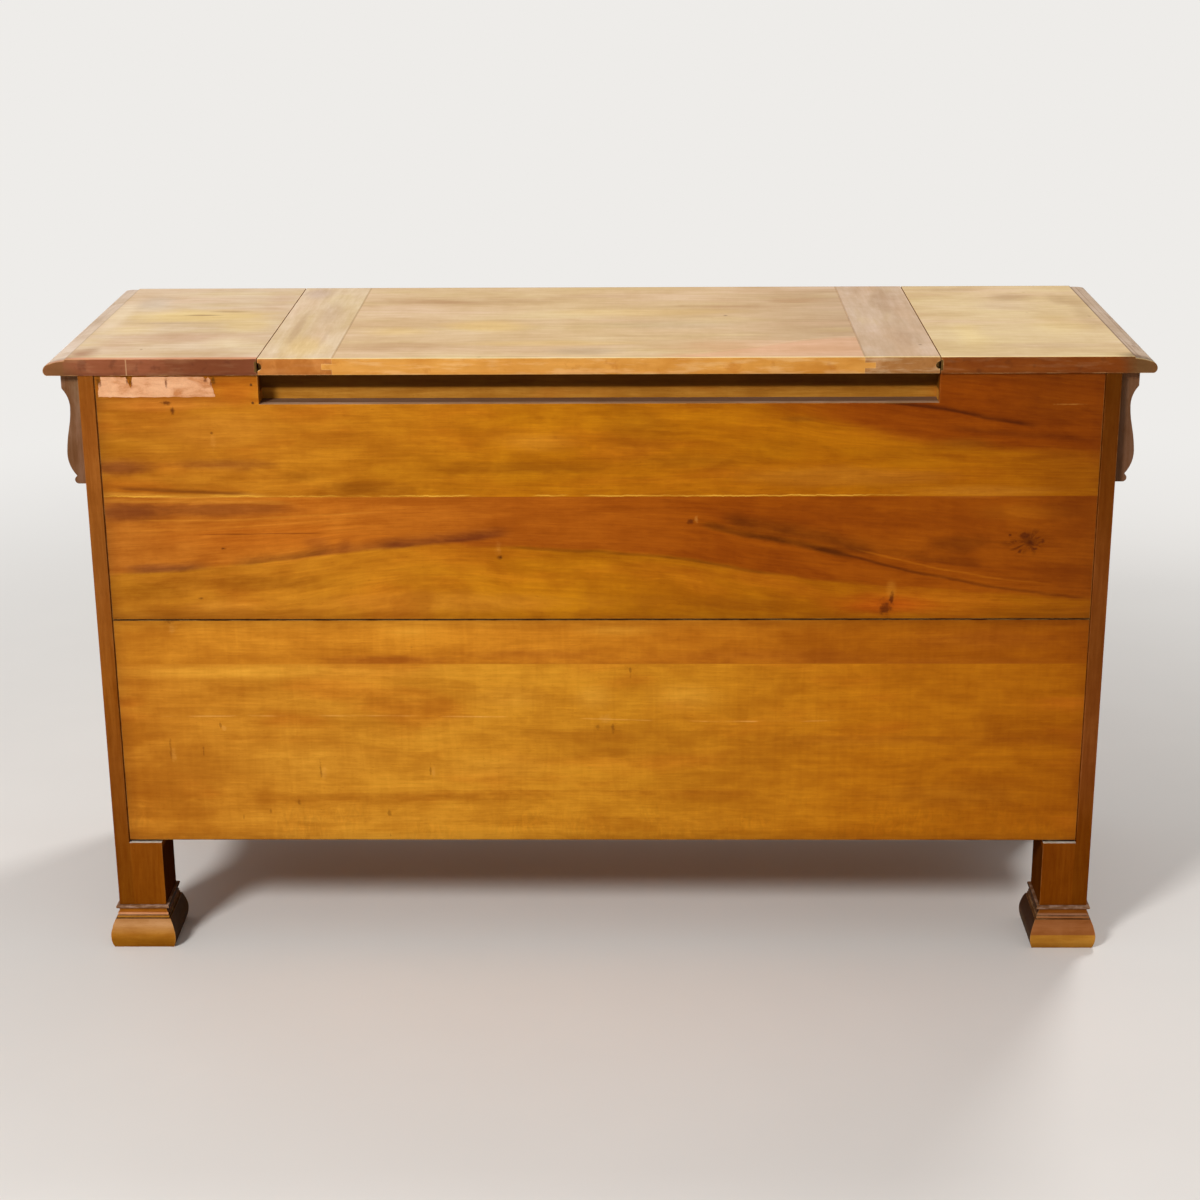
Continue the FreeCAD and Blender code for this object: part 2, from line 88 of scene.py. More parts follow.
def distance(tree, value, place):
    return calc(tree, "ABSOLUTE", calc(tree, "SUBTRACT", value, place))


def product(tree, *values):
    result = values[0]
    for value in values[1:]:
        result = calc(tree, "MULTIPLY", result, value)
    return result


def softStep(tree, value, start, end, low=0.0, high=1.0):  # eases from low at start to high at end
    sockets = {"Value": value, "From Min": start, "From Max": end, "To Min": low, "To Max": high}
    made = addNode(tree, "ShaderNodeMapRange", sockets, interpolation_type="SMOOTHSTEP")
    return made.outputs["Result"]


def blendColour(tree, share, under, over):
    made = addNode(tree, "ShaderNodeMix", data_type="RGBA")
    for place, value in ((0, share), (6, under), (7, over)):
        plug(tree, value, made.inputs[place])
    return made.outputs[2]


def brighten(tree, colour, share):
    return vectorCalc(tree, "SCALE", {0: colour, "Scale": share})


def deepen(tree, colour, share):  # like brighten, but dark patches turn redder and pale ones more golden
    channels = [calc(tree, "POWER", share, power) for power in woodHueShift]
    factor = vector(tree, **dict(zip("XYZ", channels)))
    return vectorCalc(tree, "MULTIPLY", {0: colour, 1: factor})


def ramp(tree, value, stops):
    made = addNode(tree, "ShaderNodeValToRGB", {"Fac": value})
    elements = made.color_ramp.elements
    while len(elements) < len(stops):
        elements.new(0.5)
    for element, (place, colour) in zip(elements, stops):
        element.position = place
        element.color = colour
    return made.outputs["Color"]


seedSpread = (3.7, 5.1, 2.3)  # how far each seed moves the noise along X, Y and Z


def noiseAt(tree, place, cell, seed, detail=4.0, roughness=0.5, distortion=0.0):
    # cell is the size of one patch of the noise along X, Y and Z
    scale = [1 / size for size in cell]
    shift = [seed * spread for spread in seedSpread]
    placed = vectorCalc(tree, "MULTIPLY_ADD", {0: place, 1: scale, 2: shift})
    sockets = {"Vector": placed, "Scale": 1.0, "Detail": detail, "Roughness": roughness}
    return addNode(tree, "ShaderNodeTexNoise", dict(sockets, Distortion=distortion)).outputs["Fac"]


def curveHeight(tree, value, stops):  # a smooth line through given (place, height) stops
    first, last = stops[0][0], stops[-1][0]
    heights = [height for _, height in stops]
    low, high = min(heights), max(heights)
    share = addNode(tree, "ShaderNodeMapRange", {"Value": value, "From Min": first, "From Max": last})
    made = addNode(tree, "ShaderNodeFloatCurve", {"Value": share.outputs["Result"]})
    points = made.mapping.curves[0].points
    while len(points) < len(stops):
        points.new(0.5, 0.5)
    for point, (place, height) in zip(points, stops):
        point.location = ((place - first) / (last - first), (height - low) / (high - low))
    made.mapping.update()
    return calc(tree, "MULTIPLY_ADD", made.outputs["Value"], high - low, low)


def surfaceKit(tree):  # the piece's own coordinates and normal, which stay with it when it moves
    coordinates = addNode(tree, "ShaderNodeTexCoord")
    axes = addNode(tree, "ShaderNodeSeparateXYZ", {0: coordinates.outputs["Object"]})
    facing = addNode(tree, "ShaderNodeSeparateXYZ", {0: coordinates.outputs["Normal"]})
    right = calc(tree, "MULTIPLY", axes.outputs["X"], -1.0)  # rightwards as seen from behind the chest
    kit = {"tree": tree, "place": coordinates.outputs["Object"], "right": right}
    kit["outward"] = calc(tree, "ABSOLUTE", axes.outputs["X"])
    for axis in "XYZ":
        kit[axis.lower()] = axes.outputs[axis]
        kit["facing" + axis] = facing.outputs[axis]
    return kit


def startMaterial(name):
    material = bpy.data.materials.new(name)
    material.use_nodes = True
    material.node_tree.nodes.clear()
    return material, material.node_tree, surfaceKit(material.node_tree)


bumpStrength = 0.5


def finishMaterial(material, colour, settings, roughness, height=None, depth=0.0006):
    # height raises and sinks the surface, by up to depth in metres
    tree = material.node_tree
    shader = addNode(tree, "ShaderNodeBsdfPrincipled", {"Base Color": colour, "Roughness": roughness})
    for name, value in settings.items():
        shader.inputs[name].default_value = value
    if height is not None:
        sockets = {"Height": height, "Strength": bumpStrength, "Distance": depth}
        bump = addNode(tree, "ShaderNodeBump", sockets)
        tree.links.new(bump.outputs["Normal"], shader.inputs["Normal"])
    output = addNode(tree, "ShaderNodeOutputMaterial")
    tree.links.new(shader.outputs[0], output.inputs["Surface"])
    return material


# Wood: one satin finish for every board, which each piece below gives its own tone, figure and wear
woodHueShift = (0.85, 1.25, 2.0)  # how strongly red, green and blue follow the light and dark of the figure
woodDefaults = {
    "grain": "X",
    "tone": (184, 114, 14),
    "depth": 0.17,  # how far the figure goes from dark to pale
    "bands": (0.7, 0.03),  # length and width of the long bands
    "clouds": (0.15, 0.05),  # length and width of the soft patches between them
    "mottle": (0.048, 0.018),  # length and width of the small patches
    "shares": (0.28, 0.38, 0.34),  # how much bands, clouds and small patches count
    "lines": (0.12, 0.0042),  # length and width of the coarse grain lines
    "fineLines": (0.036, 0.0026),
    "blushPatches": (0.2, 0.05),
    "ripples": (0.009, 0.06),  # the cross figure that shows in polished wood
    "flecks": (0.006, 0.001),
    "sway": 0.007,  # how far the grain wanders from a straight line
    "blush": (188, 94, 18),
    "blushShare": 0.25,
    "olive": (164, 102, 4),
    "oliveShare": 0.0,
    "ripple": 0.018,  # how much the ripples, the grain lines and the pores darken or lighten
    "fibre": 0.075,
    "pores": 0.14,
    "wear": 0.45,
    "wearTone": (214, 160, 84),
    "wearReach": 0.0022,
    "roughness": 0.46,
    "specular": 0.05,
    "seed": 1.0,
}


# for each noise of the wood: step of the seed, detail, roughness and distortion
woodNoises = {
    "bands": (0, 5.0, 0.55, 0.3),
    "clouds": (7, 4.0, 0.55, 0.5),
    "mottle": (11, 4.0, 0.6, 0.3),
    "blushPatches": (13, 4.0, 0.5),
    "ripples": (19, 2.0, 0.5, 0.8),
    "lines": (23, 4.0, 0.62),
    "fineLines": (29, 4.0, 0.68),
    "flecks": (31, 2.0, 0.5),
}
# the stretches of a noise over which each effect eases in
woodEases = {
    "blush": (0.5, 0.68),
    "olive": (0.5, 0.34),
    "figure": (0.38, 0.62),
    "lines": (0.3, 0.7),
    "pores": (0.72, 0.64),
}
gritCell = 0.006  # size of the grit that makes the rims of small marks ragged
driftCell = (0.22, 0.08)  # length and width of the waves in which the grain wanders
surfaceShares = {"roughness": 0.16, "lines": 0.5, "pores": 0.35}  # what the figure does to the polish


def grainCell(grain, along, across):
    return [along if axis == grain else across for axis in "XYZ"]


def layer(kit, colour, mask, share, tone):
    tree = kit["tree"]
    return blendColour(tree, calc(tree, "MULTIPLY", mask, share), colour, paint(*tone))


spotRim = (1.15, 0.15)  # shares of the half widths between which a spot eases in


def ovalPlace(tree, flat, right, height, halfWidth, halfHeight):
    # the place as seen from the middle of an oval, and its distance from there, which is 1 on the rim
    scale = (1 / halfWidth, 0.0, 1 / halfHeight)
    shift = (-right / halfWidth, 0.0, -height / halfHeight)
    placed = vectorCalc(tree, "MULTIPLY_ADD", {0: flat, 1: scale, 2: shift})
    return placed, vectorCalc(tree, "LENGTH", {0: placed})


def spotMask(kit, flat, *oval, noise="figure", wobble=1.2):
    # a soft oval, 1 in its middle and 0 from its rim outwards, with a rim that wanders with the noise
    tree = kit["tree"]
    radius = ovalPlace(tree, flat, *oval)[1]
    radius = calc(tree, "ADD", radius, calc(tree, "MULTIPLY_ADD", kit[noise], wobble * 2, -wobble))
    return softStep(tree, radius, *spotRim)


# noises are given as cell, seed, detail and so on, with the first cell in radians round the knot
starLook = {
    "reachNoise": ((0.8, 1.0, 1.0), 31.0, 1.0),
    "reach": (0.35, 0.65, 0.3, 1.05),
    "rayNoise": ((0.3, 1.0, 1.0), 16.0, 2.0, 0.6),
    "rays": (0.47, 0.55),
    "ragged": (0.36, 0.5, 0.45, 1.0),
    "full": 0.4,  # share of a ray's reach over which it is full
    "core": (0.64, 0.4),
    "coreGrit": 0.5,
    "haze": (1.0, 0.1, 0.0, 0.34),
    "twist": 0.5,  # how far a ray bends on its way out
}


def starMask(kit, flat, *oval):  # a cracked knot: a core with ragged rays
    tree, look = kit["tree"], starLook
    placed, radius = ovalPlace(tree, flat, *oval)
    axes = addNode(tree, "ShaderNodeSeparateXYZ", {0: placed})
    angle = calc(tree, "ARCTAN2", axes.outputs["Z"], axes.outputs["X"])
    twist = calc(tree, "MULTIPLY", radius, look["twist"])
    around = vector(tree, X=angle, Y=twist)
    reach = softStep(tree, noiseAt(tree, around, *look["reachNoise"]), *look["reach"])
    rays = softStep(tree, noiseAt(tree, around, *look["rayNoise"]), *look["rays"])
    ragged = softStep(tree, kit["grit"], *look["ragged"])
    rays = product(tree, rays, ragged, softStep(tree, radius, reach, product(tree, reach, look["full"])))
    core = softStep(tree, calc(tree, "MULTIPLY_ADD", kit["grit"], look["coreGrit"], radius), *look["core"])
    haze = softStep(tree, radius, *look["haze"])
    return calc(tree, "MAXIMUM", haze, calc(tree, "MAXIMUM", rays, core))


def addMarks(kit, colour, flat, marks, tone, share, wobble):  # small ragged marks, all of one tone
    for mark in marks:
        colour = layer(kit, colour, spotMask(kit, flat, *mark, noise="grit", wobble=wobble), share, tone)
    return colour


def addSpots(kit, colour, flat, groups):  # each group is a tone and its ovals, which end with their share
    for tone, spots in groups:
        for *oval, share in spots:
            colour = layer(kit, colour, spotMask(kit, flat, *oval), share, tone)
    return colour


def toneRamp(kit, axis, stops):
    tree = kit["tree"]
    first, last = stops[0][0], stops[-1][0]
    reach = last - first
    share = calc(tree, "MULTIPLY_ADD", kit[axis], 1 / reach, -first / reach)
    return ramp(tree, share, [((place - first) / reach, paint(*tone)) for place, tone in stops])


edgeLook = {
    "samples": 6,
    "likeness": (0.985, 0.86),  # how alike rounded and true normals are where the wear starts and is full
    "cell": 0.03,
    "patches": (0.38, 0.62),
}


def edgeWear(kit, reach, seed):  # 1 on the arrises, broken up by noise
    tree = kit["tree"]
    rounded = addNode(tree, "ShaderNodeBevel", {"Radius": reach}, samples=edgeLook["samples"])
    geometry = addNode(tree, "ShaderNodeNewGeometry")
    likeness = vectorCalc(tree, "DOT_PRODUCT", {0: rounded.outputs["Normal"], 1: geometry.outputs["Normal"]})
    edge = softStep(tree, likeness, *edgeLook["likeness"])
    patches = noiseAt(tree, kit["place"], [edgeLook["cell"]] * 3, seed, 5.0, 0.65)
    return calc(tree, "MULTIPLY", edge, softStep(tree, patches, *edgeLook["patches"]))


def swayed(kit, grain, sway, seed):  # moves the figure sideways a little, so that the grain wanders
    tree = kit["tree"]
    drift = noiseAt(tree, kit["along"], grainCell(grain, *driftCell), seed, 3.0, 0.5)
    drift = calc(tree, "MULTIPLY_ADD", drift, 2 * sway, -sway)
    crossways = [0.0 if axis == grain else 1.0 for axis in "XYZ"]
    moved = vectorCalc(tree, "SCALE", {0: crossways, "Scale": drift})
    return vectorCalc(tree, "ADD", {0: kit["along"], 1: moved})


def woodMaterial(name, look, overlay=None, bend=None):
    look = dict(woodDefaults, **look)
    material, tree, kit = startMaterial(name)
    kit["along"] = bend(kit) if bend else kit["place"]  # where the figure is read, so that it can sweep
    grain, seed = look["grain"], look["seed"]
    place = swayed(kit, grain, look["sway"], seed + 3)
    noises = {}
    for part, (step, *settings) in woodNoises.items():
        noises[part] = noiseAt(tree, place, grainCell(grain, *look[part]), seed + step, *settings)

    parts = zip(("bands", "clouds", "mottle"), look["shares"])
    bands, clouds, mottle = [product(tree, noises[part], share) for part, share in parts]
    kit["figure"] = calc(tree, "ADD", calc(tree, "ADD", bands, clouds), mottle)
    kit["grit"] = noiseAt(tree, kit["place"], [gritCell] * 3, seed + 17, 3.0, 0.6)
    colour = toneRamp(kit, "right", look["across"]) if "across" in look else paint(*look["tone"])
    for patch in ("blush", "olive"):
        mask = softStep(tree, noises["blushPatches"], *woodEases[patch])
        colour = layer(kit, colour, mask, look[patch + "Share"], look[patch])
    if overlay is not None:
        colour = overlay(kit, colour, look)

    shades = [softStep(tree, kit["figure"], *woodEases["figure"], 1 - look["depth"], 1 + look["depth"])]
    for part, change in (("ripples", look["ripple"]), ("lines", look["fibre"]), ("fineLines", look["fibre"])):
        shades.append(softStep(tree, noises[part], *woodEases["lines"], 1 - change, 1 + change))
    pores = softStep(tree, noises["flecks"], *woodEases["pores"], 1 - look["pores"], 1.0)
    colour = deepen(tree, colour, product(tree, *shades, pores))
    colour = layer(kit, colour, edgeWear(kit, look["wearReach"], seed + 41), look["wear"], look["wearTone"])
    spread = surfaceShares["roughness"]
    roughness = calc(tree, "MULTIPLY_ADD", noises["blushPatches"], spread, look["roughness"] - spread / 2)
    sunk = product(tree, pores, surfaceShares["pores"])
    height = calc(tree, "MULTIPLY_ADD", noises["fineLines"], surfaceShares["lines"], sunk)
    return finishMaterial(material, colour, {"Specular IOR Level": look["specular"]}, roughness, height)


def dress(material, *nodes):
    for name in nodes:
        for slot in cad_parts[name].material_slots:
            slot.material = material


weldReach = 0.00001
arrisAngle = 28  # degrees: flatter corners than this stay as they are


def softenEdges(width, *nodes):  # rounds the arrises a little, as on planed and sanded boards
    for name in nodes:
        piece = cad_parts[name]
        weld = piece.modifiers.new("weld", "WELD")
        weld.merge_threshold = weldReach
        bevel = piece.modifiers.new("arris", "BEVEL")
        bevel.width = width
        bevel.segments = 2
        bevel.limit_method = "ANGLE"
        bevel.angle_limit = math.radians(arrisAngle)
        normals = piece.modifiers.new("flat faces", "WEIGHTED_NORMAL")
        normals.keep_sharp = False
        normals.weight = 100


# The back: two glued-up panels, with a reddish heartwood that sweeps through the upper one
def panelFlat(kit):  # the place on the back, as a flat vector of right and height
    return vector(kit["tree"], X=kit["right"], Z=kit["z"])


def movedUp(kit, height):  # the piece's own place, with another height
    return vector(kit["tree"], X=kit["x"], Y=kit["y"], Z=height)


def nearLine(kit, line, above, below):  # 1 on a line, fading over these distances above and below it
    tree = kit["tree"]
    off = calc(tree, "SUBTRACT", kit["z"], line)
    over = softStep(tree, off, above, 0.0)
    under = softStep(tree, off, -below, 0.0)
    return calc(tree, "MULTIPLY", over, under)


faceUp = (0.6, 0.9)  # where faces count as looking up or to the back
faceBack = (0.5, 0.8)


def facingAlong(kit, axis, start, end):  # 1 on the faces that look along this axis
    return softStep(kit["tree"], kit["facing" + axis], start, end)


def between(kit, axis, start, end, ease):
    tree = kit["tree"]
    opening = softStep(tree, kit[axis], start - ease, start + ease)
    closing = softStep(tree, kit[axis], end + ease, end - ease)
    return calc(tree, "MULTIPLY", opening, closing)


grimeLook = {
    "full": 0.3,  # share of the width over which the dirt is full
    "haze": (0.02, 0.0, 0.0, 0.22),  # a faint spread further out
    "sides": (0.0, 0.1),  # the stretch over which the right side's share comes in
}


def dirtNear(tree, off, width):  # off is the distance from a joint
    close = softStep(tree, off, width, width * grimeLook["full"])
    return calc(tree, "MAXIMUM", close, softStep(tree, off, *grimeLook["haze"]))


def joinGrime(kit, colour, node, panel):
    # dirt in the joints round a panel, with a tone of its own beside the posts
    tree = kit["tree"]
    width, rightShare = panel["grime"]
    low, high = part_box(node)
    fromSide = calc(tree, "SUBTRACT", high.x, kit["outward"])
    fromTop = calc(tree, "SUBTRACT", high.z, kit["z"])
    fromFoot = calc(tree, "SUBTRACT", kit["z"], low.z)
    dirt = dirtNear(tree, calc(tree, "MINIMUM", fromTop, fromFoot), width)
    colour = layer(kit, colour, dirt, 1.0, panel["grimeAndShadeTone"])
    dirt = dirtNear(tree, fromSide, width)
    dirt = product(tree, dirt, softStep(tree, kit["right"], *grimeLook["sides"], 1.0, rightShare))
    return layer(kit, colour, dirt, 1.0, panel["sideGrime"])


def addStreaks(kit, colour, panel, drift=None):  # narrow figure that follows the listed lines
    tree = kit["tree"]
    broken = softStep(tree, kit["figure"], *panel["streakBreak"])
    for name, above, below, start, end, share, tone in panel["streaks"]:
        line = curveHeight(tree, kit["right"], panel["lines"][name])
        if drift is not None:
            line = calc(tree, "ADD", line, drift)
        stretch = between(kit, "right", start, end, panel["streakEase"])
        mask = product(tree, nearLine(kit, line, above, below), stretch)
        colour = layer(kit, colour, product(tree, mask, broken), share, tone)
    return colour


upperPanel = {
    "look": {
        "seed": 2.0, "depth": 0.19, "oliveShare": 0.25,
        # tones across the board: darker towards the right, partly as painted shade and partly as the wood's
        # own tone
        "across": (
            (-0.62, (166, 100, 20)), (-0.42, (182, 112, 22)), (-0.1, (180, 109, 8)), (0.25, (171, 98, 4)),
            (0.62, (162, 89, 4)),
        ),
    },
    "gluedJoint": 0.619,
    "jointEase": 0.0005,
    "toneEase": 0.0004,
    "boardStep": 3.0,  # the board above the joint reads another stretch of figure
    "glue": {
        "tone": (222, 164, 56), "share": 0.9, "stretch": (-0.62, 0.37), "ease": 0.05, "halfWidth": 0.0014,
        "rise": -0.001, "ragged": 0.005, "shown": (0.34, 0.52),
    },
    "heartFoot": 0.517,  # height of the heartwood's edge where the sweep of the grain starts
    "sweepMiddle": 0.535,
    "sweepReach": (0.09, 0.015, 0.25, 1.0),  # far from the middle's height, the figure sweeps less
    "topEase": 0.11,
    "sway": 0.016,
    "heartEase": (-0.003, 0.005),
    "upperHeartEase": (-0.012, 0.014),
    "upperHeartFrom": (0.1, 0.34),
    "sweep": ((-0.62, 0.0), (0.1, 0.0), (0.3, -0.02), (0.45, -0.04), (0.62, -0.058)),
    "heartAcross": (
        (-0.62, (170, 97, 26)), (-0.38, (188, 107, 25)), (-0.12, (162, 83, 12)), (0.16, (148, 70, 3)),
        (0.62, (148, 72, 4)),
    ),
    "upperHeartTone": (136, 61, 2),
    "upperHeartEdge": ((0.1, 0.765), (0.203, 0.73), (0.291, 0.711), (0.409, 0.687), (0.62, 0.67)),
    # line, above, below, start, end, share and tone
    "streaks": (
        ("underJoint", 0.0045, 0.004, -0.62, -0.39, 0.65, (204, 134, 44)),
        ("upperGolden", 0.0022, 0.0022, -0.57, -0.28, 0.5, (206, 132, 40)),
        ("lowerGolden", 0.003, 0.0022, -0.59, -0.33, 0.5, (200, 122, 34)),
        ("thin", 0.0014, 0.0012, -0.5, -0.35, 0.6, (118, 54, 12)),
        ("left", 0.012, 0.005, -0.59, -0.5, 0.7, (110, 56, 26)),
        ("left", 0.014, 0.004, -0.455, -0.34, 0.8, (112, 60, 14)),
        ("left", 0.014, 0.005, -0.36, -0.24, 0.65, (124, 62, 20)),
        ("left", 0.016, 0.006, -0.27, -0.12, 0.95, (108, 48, 16)),
        ("right", 0.01, 0.007, 0.13, 0.31, 0.95, (74, 31, 1)),
        ("rightUpper", 0.02, 0.012, 0.16, 0.34, 0.8, (92, 40, 2)),
        ("rightUpper", 0.026, 0.004, 0.33, 0.48, 0.45, (110, 50, 3)),
        ("right", 0.004, 0.003, 0.28, 0.61, 0.75, (96, 42, 3)),
        ("rightGolden", 0.0022, 0.0022, 0.33, 0.56, 0.45, (186, 104, 14)),
        ("top", 0.006, 0.003, 0.34, 0.535, 0.85, (80, 30, 2)),
        ("topLower", 0.008, 0.006, 0.44, 0.6, 0.45, (100, 42, 3)),
        ("heartEdge", 0.004, 0.003, -0.11, 0.22, 0.5, (118, 66, 4)),
        ("jointPale", 0.006, 0.003, -0.62, -0.42, 0.7, (212, 146, 50)),
        ("jointLine", 0.0045, 0.003, -0.6, -0.44, 0.65, (116, 58, 14)),
    ),
    "streakEase": 0.018,
    "streakBreak": (0.62, 0.42, 0.6, 1.0),
    "lines": {
        "heartEdge": (
            (-0.62, 0.517), (-0.485, 0.528), (-0.401, 0.534), (-0.288, 0.55), (-0.192, 0.556),
            (-0.105, 0.552), (0.067, 0.541), (0.201, 0.52), (0.362, 0.501), (0.62, 0.482),
        ),
        "underJoint": ((-0.62, 0.615), (-0.5, 0.614), (-0.4, 0.612)),
        "upperGolden": ((-0.62, 0.59), (-0.5, 0.589), (-0.38, 0.594), (-0.25, 0.6)),
        "lowerGolden": ((-0.62, 0.574), (-0.5, 0.578), (-0.4, 0.584), (-0.3, 0.59)),
        "thin": ((-0.62, 0.57), (-0.5, 0.571), (-0.35, 0.572)),
        "left": (
            (-0.62, 0.519), (-0.469, 0.53), (-0.401, 0.537), (-0.345, 0.546), (-0.288, 0.552),
            (-0.214, 0.559), (-0.12, 0.57), (0.0, 0.58),
        ),
        "right": (
            (0.08, 0.59), (0.125, 0.583), (0.177, 0.571), (0.236, 0.56), (0.295, 0.546), (0.385, 0.522),
            (0.445, 0.51), (0.506, 0.498), (0.62, 0.484),
        ),
        "rightUpper": ((0.1, 0.6), (0.177, 0.583), (0.25, 0.57), (0.34, 0.548), (0.48, 0.526)),
        "rightGolden": ((0.3, 0.557), (0.385, 0.534), (0.47, 0.516), (0.6, 0.5)),
        "top": ((0.24, 0.75), (0.4, 0.733), (0.535, 0.71), (0.62, 0.7)),
        "topLower": ((0.4, 0.712), (0.5, 0.7), (0.62, 0.69)),
        "jointPale": ((-0.62, 0.6235), (-0.56, 0.6215), (-0.5, 0.6195), (-0.46, 0.6205), (-0.4, 0.619)),
        "jointLine": ((-0.62, 0.633), (-0.56, 0.629), (-0.49, 0.625), (-0.44, 0.623)),
    },
    # a tone and its ovals: right, height, half width, half height and share
    "spots": (
        ((122, 62, 26), (
            (-0.6, 0.658, 0.052, 0.013, 0.75), (-0.47, 0.661, 0.09, 0.009, 0.5),
            (-0.6, 0.6, 0.055, 0.015, 0.72), (-0.48, 0.603, 0.12, 0.011, 0.55),
            (-0.56, 0.752, 0.11, 0.016, 0.25), (-0.56, 0.527, 0.05, 0.008, 0.45),
            (-0.355, 0.56, 0.022, 0.01, 0.45), (-0.32, 0.556, 0.012, 0.01, 0.4),
        )),
        ((140, 78, 8), (
            (-0.3, 0.63, 0.085, 0.012, 0.6), (-0.37, 0.645, 0.04, 0.01, 0.55), (0.05, 0.7, 0.06, 0.04, 0.3),
            (-0.1, 0.655, 0.12, 0.01, 0.4), (0.45, 0.687, 0.05, 0.01, 0.55),
            (0.25, 0.718, 0.03, 0.005, 0.65), (-0.57, 0.495, 0.07, 0.018, 0.55),
            (-0.4, 0.505, 0.14, 0.012, 0.45), (0.12, 0.665, 0.1, 0.012, 0.35),
            (0.18, 0.478, 0.1, 0.01, 0.3),
        )),
        ((210, 138, 42), (
            (-0.47, 0.706, 0.08, 0.026, 0.5), (-0.21, 0.48, 0.26, 0.018, 0.35),
            (-0.08, 0.69, 0.06, 0.016, 0.3), (0.3, 0.645, 0.15, 0.016, 0.3),
            (-0.48, 0.475, 0.06, 0.012, 0.5), (0.48, 0.625, 0.13, 0.01, 0.3),
        )),
        ((190, 104, 24), ((-0.42, 0.568, 0.17, 0.02, 0.45),)),
        ((108, 48, 2), (
            (0.45, 0.556, 0.06, 0.014, 0.6), (0.56, 0.74, 0.08, 0.05, 0.35), (0.58, 0.6, 0.05, 0.02, 0.3),
        )),
        ((172, 94, 10), ((0.525, 0.598, 0.06, 0.013, 0.65),)),
        ((192, 106, 24), ((-0.445, 0.757, 0.042, 0.024, 0.65), (-0.6, 0.765, 0.03, 0.02, 0.4))),
        ((206, 126, 44), ((-0.54, 0.738, 0.095, 0.009, 0.55),)),
        ((176, 76, 8), ((0.37, 0.476, 0.085, 0.017, 0.7),)),
        ((202, 130, 36), ((0.368, 0.497, 0.008, 0.016, 0.38),)),
    ),
    # right, height, half width and half height of cracked knots, small knots, torn places and pale flames
    "stars": ((0.54, 0.56, 0.042, 0.022),),
    "knots": (
        (0.362, 0.472, 0.01, 0.012), (0.369, 0.484, 0.003, 0.012), (-0.125, 0.54, 0.004, 0.003),
        (0.115, 0.586, 0.005, 0.004), (-0.473, 0.552, 0.004, 0.002), (-0.534, 0.74, 0.007, 0.0035),
        (-0.526, 0.73, 0.0035, 0.006), (-0.479, 0.702, 0.003, 0.002), (-0.505, 0.486, 0.004, 0.002),
        (0.54, 0.5582, 0.005, 0.004), (0.5325, 0.568, 0.009, 0.005), (0.5145, 0.568, 0.0026, 0.0022),
        (0.5268, 0.5465, 0.003, 0.003), (0.5555, 0.5605, 0.0034, 0.0034), (0.5457, 0.55, 0.004, 0.0018),
    ),
    "knotTone": (84, 32, 4),
    "starTone": (60, 18, 2),
    # share and wobble of each kind of mark
    "flameShare": (0.32, 1.0),
    "knotShare": (0.8, 1.0),
    "tearShare": (0.75, 1.6),
    "starShare": 0.62,
    "tearMarks": (
        (-0.58, 0.7725, 0.007, 0.003), (-0.5762, 0.766, 0.0022, 0.008), (-0.615, 0.769, 0.0034, 0.009),
        (-0.4735, 0.769, 0.0026, 0.006),
    ),
    "tearTone": (88, 54, 10),
    "flames": (
        (-0.127, 0.551, 0.005, 0.009), (0.122, 0.589, 0.003, 0.005), (-0.478, 0.692, 0.004, 0.012),
        (0.582, 0.7358, 0.02, 0.0011),
    ),
    "flameTone": (214, 146, 60),
    "grime": (0.0015, 0.4),  # width and the right side's share
    "grimeAndShadeTone": (48, 22, 6),
    "sideGrime": (84, 38, 10),
    "dustTone": (172, 136, 106),
    # painted shade: the panel grows darker towards the right post
    "paintedRightShade": (0.46, 0.63, 0.34, (96, 38, 2)),
}


def upperPanelBend(kit):
    tree, z = kit["tree"], kit["z"]
    panel = upperPanel
    joint, ease = panel["gluedJoint"], panel["jointEase"]
    upperPart = softStep(tree, z, joint - ease, joint + ease)
    edge = curveHeight(tree, kit["right"], panel["lines"]["heartEdge"])
    nearMiddle = softStep(tree, distance(tree, z, panel["sweepMiddle"]), *panel["sweepReach"])
    lowerSweep = product(tree, calc(tree, "SUBTRACT", edge, panel["heartFoot"]), nearMiddle)
    upperSweep = curveHeight(tree, kit["right"], panel["sweep"])
    upperSweep = product(tree, upperSweep, softStep(tree, z, joint, joint + panel["topEase"]))
    upperSweep = calc(tree, "ADD", upperSweep, panel["boardStep"])
    off = calc(tree, "MULTIPLY_ADD", calc(tree, "SUBTRACT", upperSweep, lowerSweep), upperPart, lowerSweep)
    return movedUp(kit, calc(tree, "SUBTRACT", z, off))


def inHeartwood(kit, stops, sway, ease):  # 1 above the swaying edge of the heartwood
    tree = kit["tree"]
    edge = calc(tree, "ADD", curveHeight(tree, kit["right"], stops), sway)
    return softStep(tree, calc(tree, "SUBTRACT", kit["z"], edge), *ease)


def addGlueLine(kit, colour, panel):
    tree, glue = kit["tree"], panel["glue"]
    ragged = noiseAt(tree, kit["place"], (0.018, 1.0, 1.0), 14.0, 4.0, 0.7)
    line = calc(tree, "MULTIPLY_ADD", ragged, glue["ragged"], panel["gluedJoint"] + glue["rise"])
    shown = softStep(tree, noiseAt(tree, kit["place"], (0.1, 1.0, 1.0), 15.0, 3.0, 0.6), *glue["shown"])
    shown = product(tree, shown, between(kit, "right", *glue["stretch"], glue["ease"]))
    mask = product(tree, nearLine(kit, line, glue["halfWidth"], glue["halfWidth"]), shown)
    return layer(kit, colour, mask, glue["share"], glue["tone"])


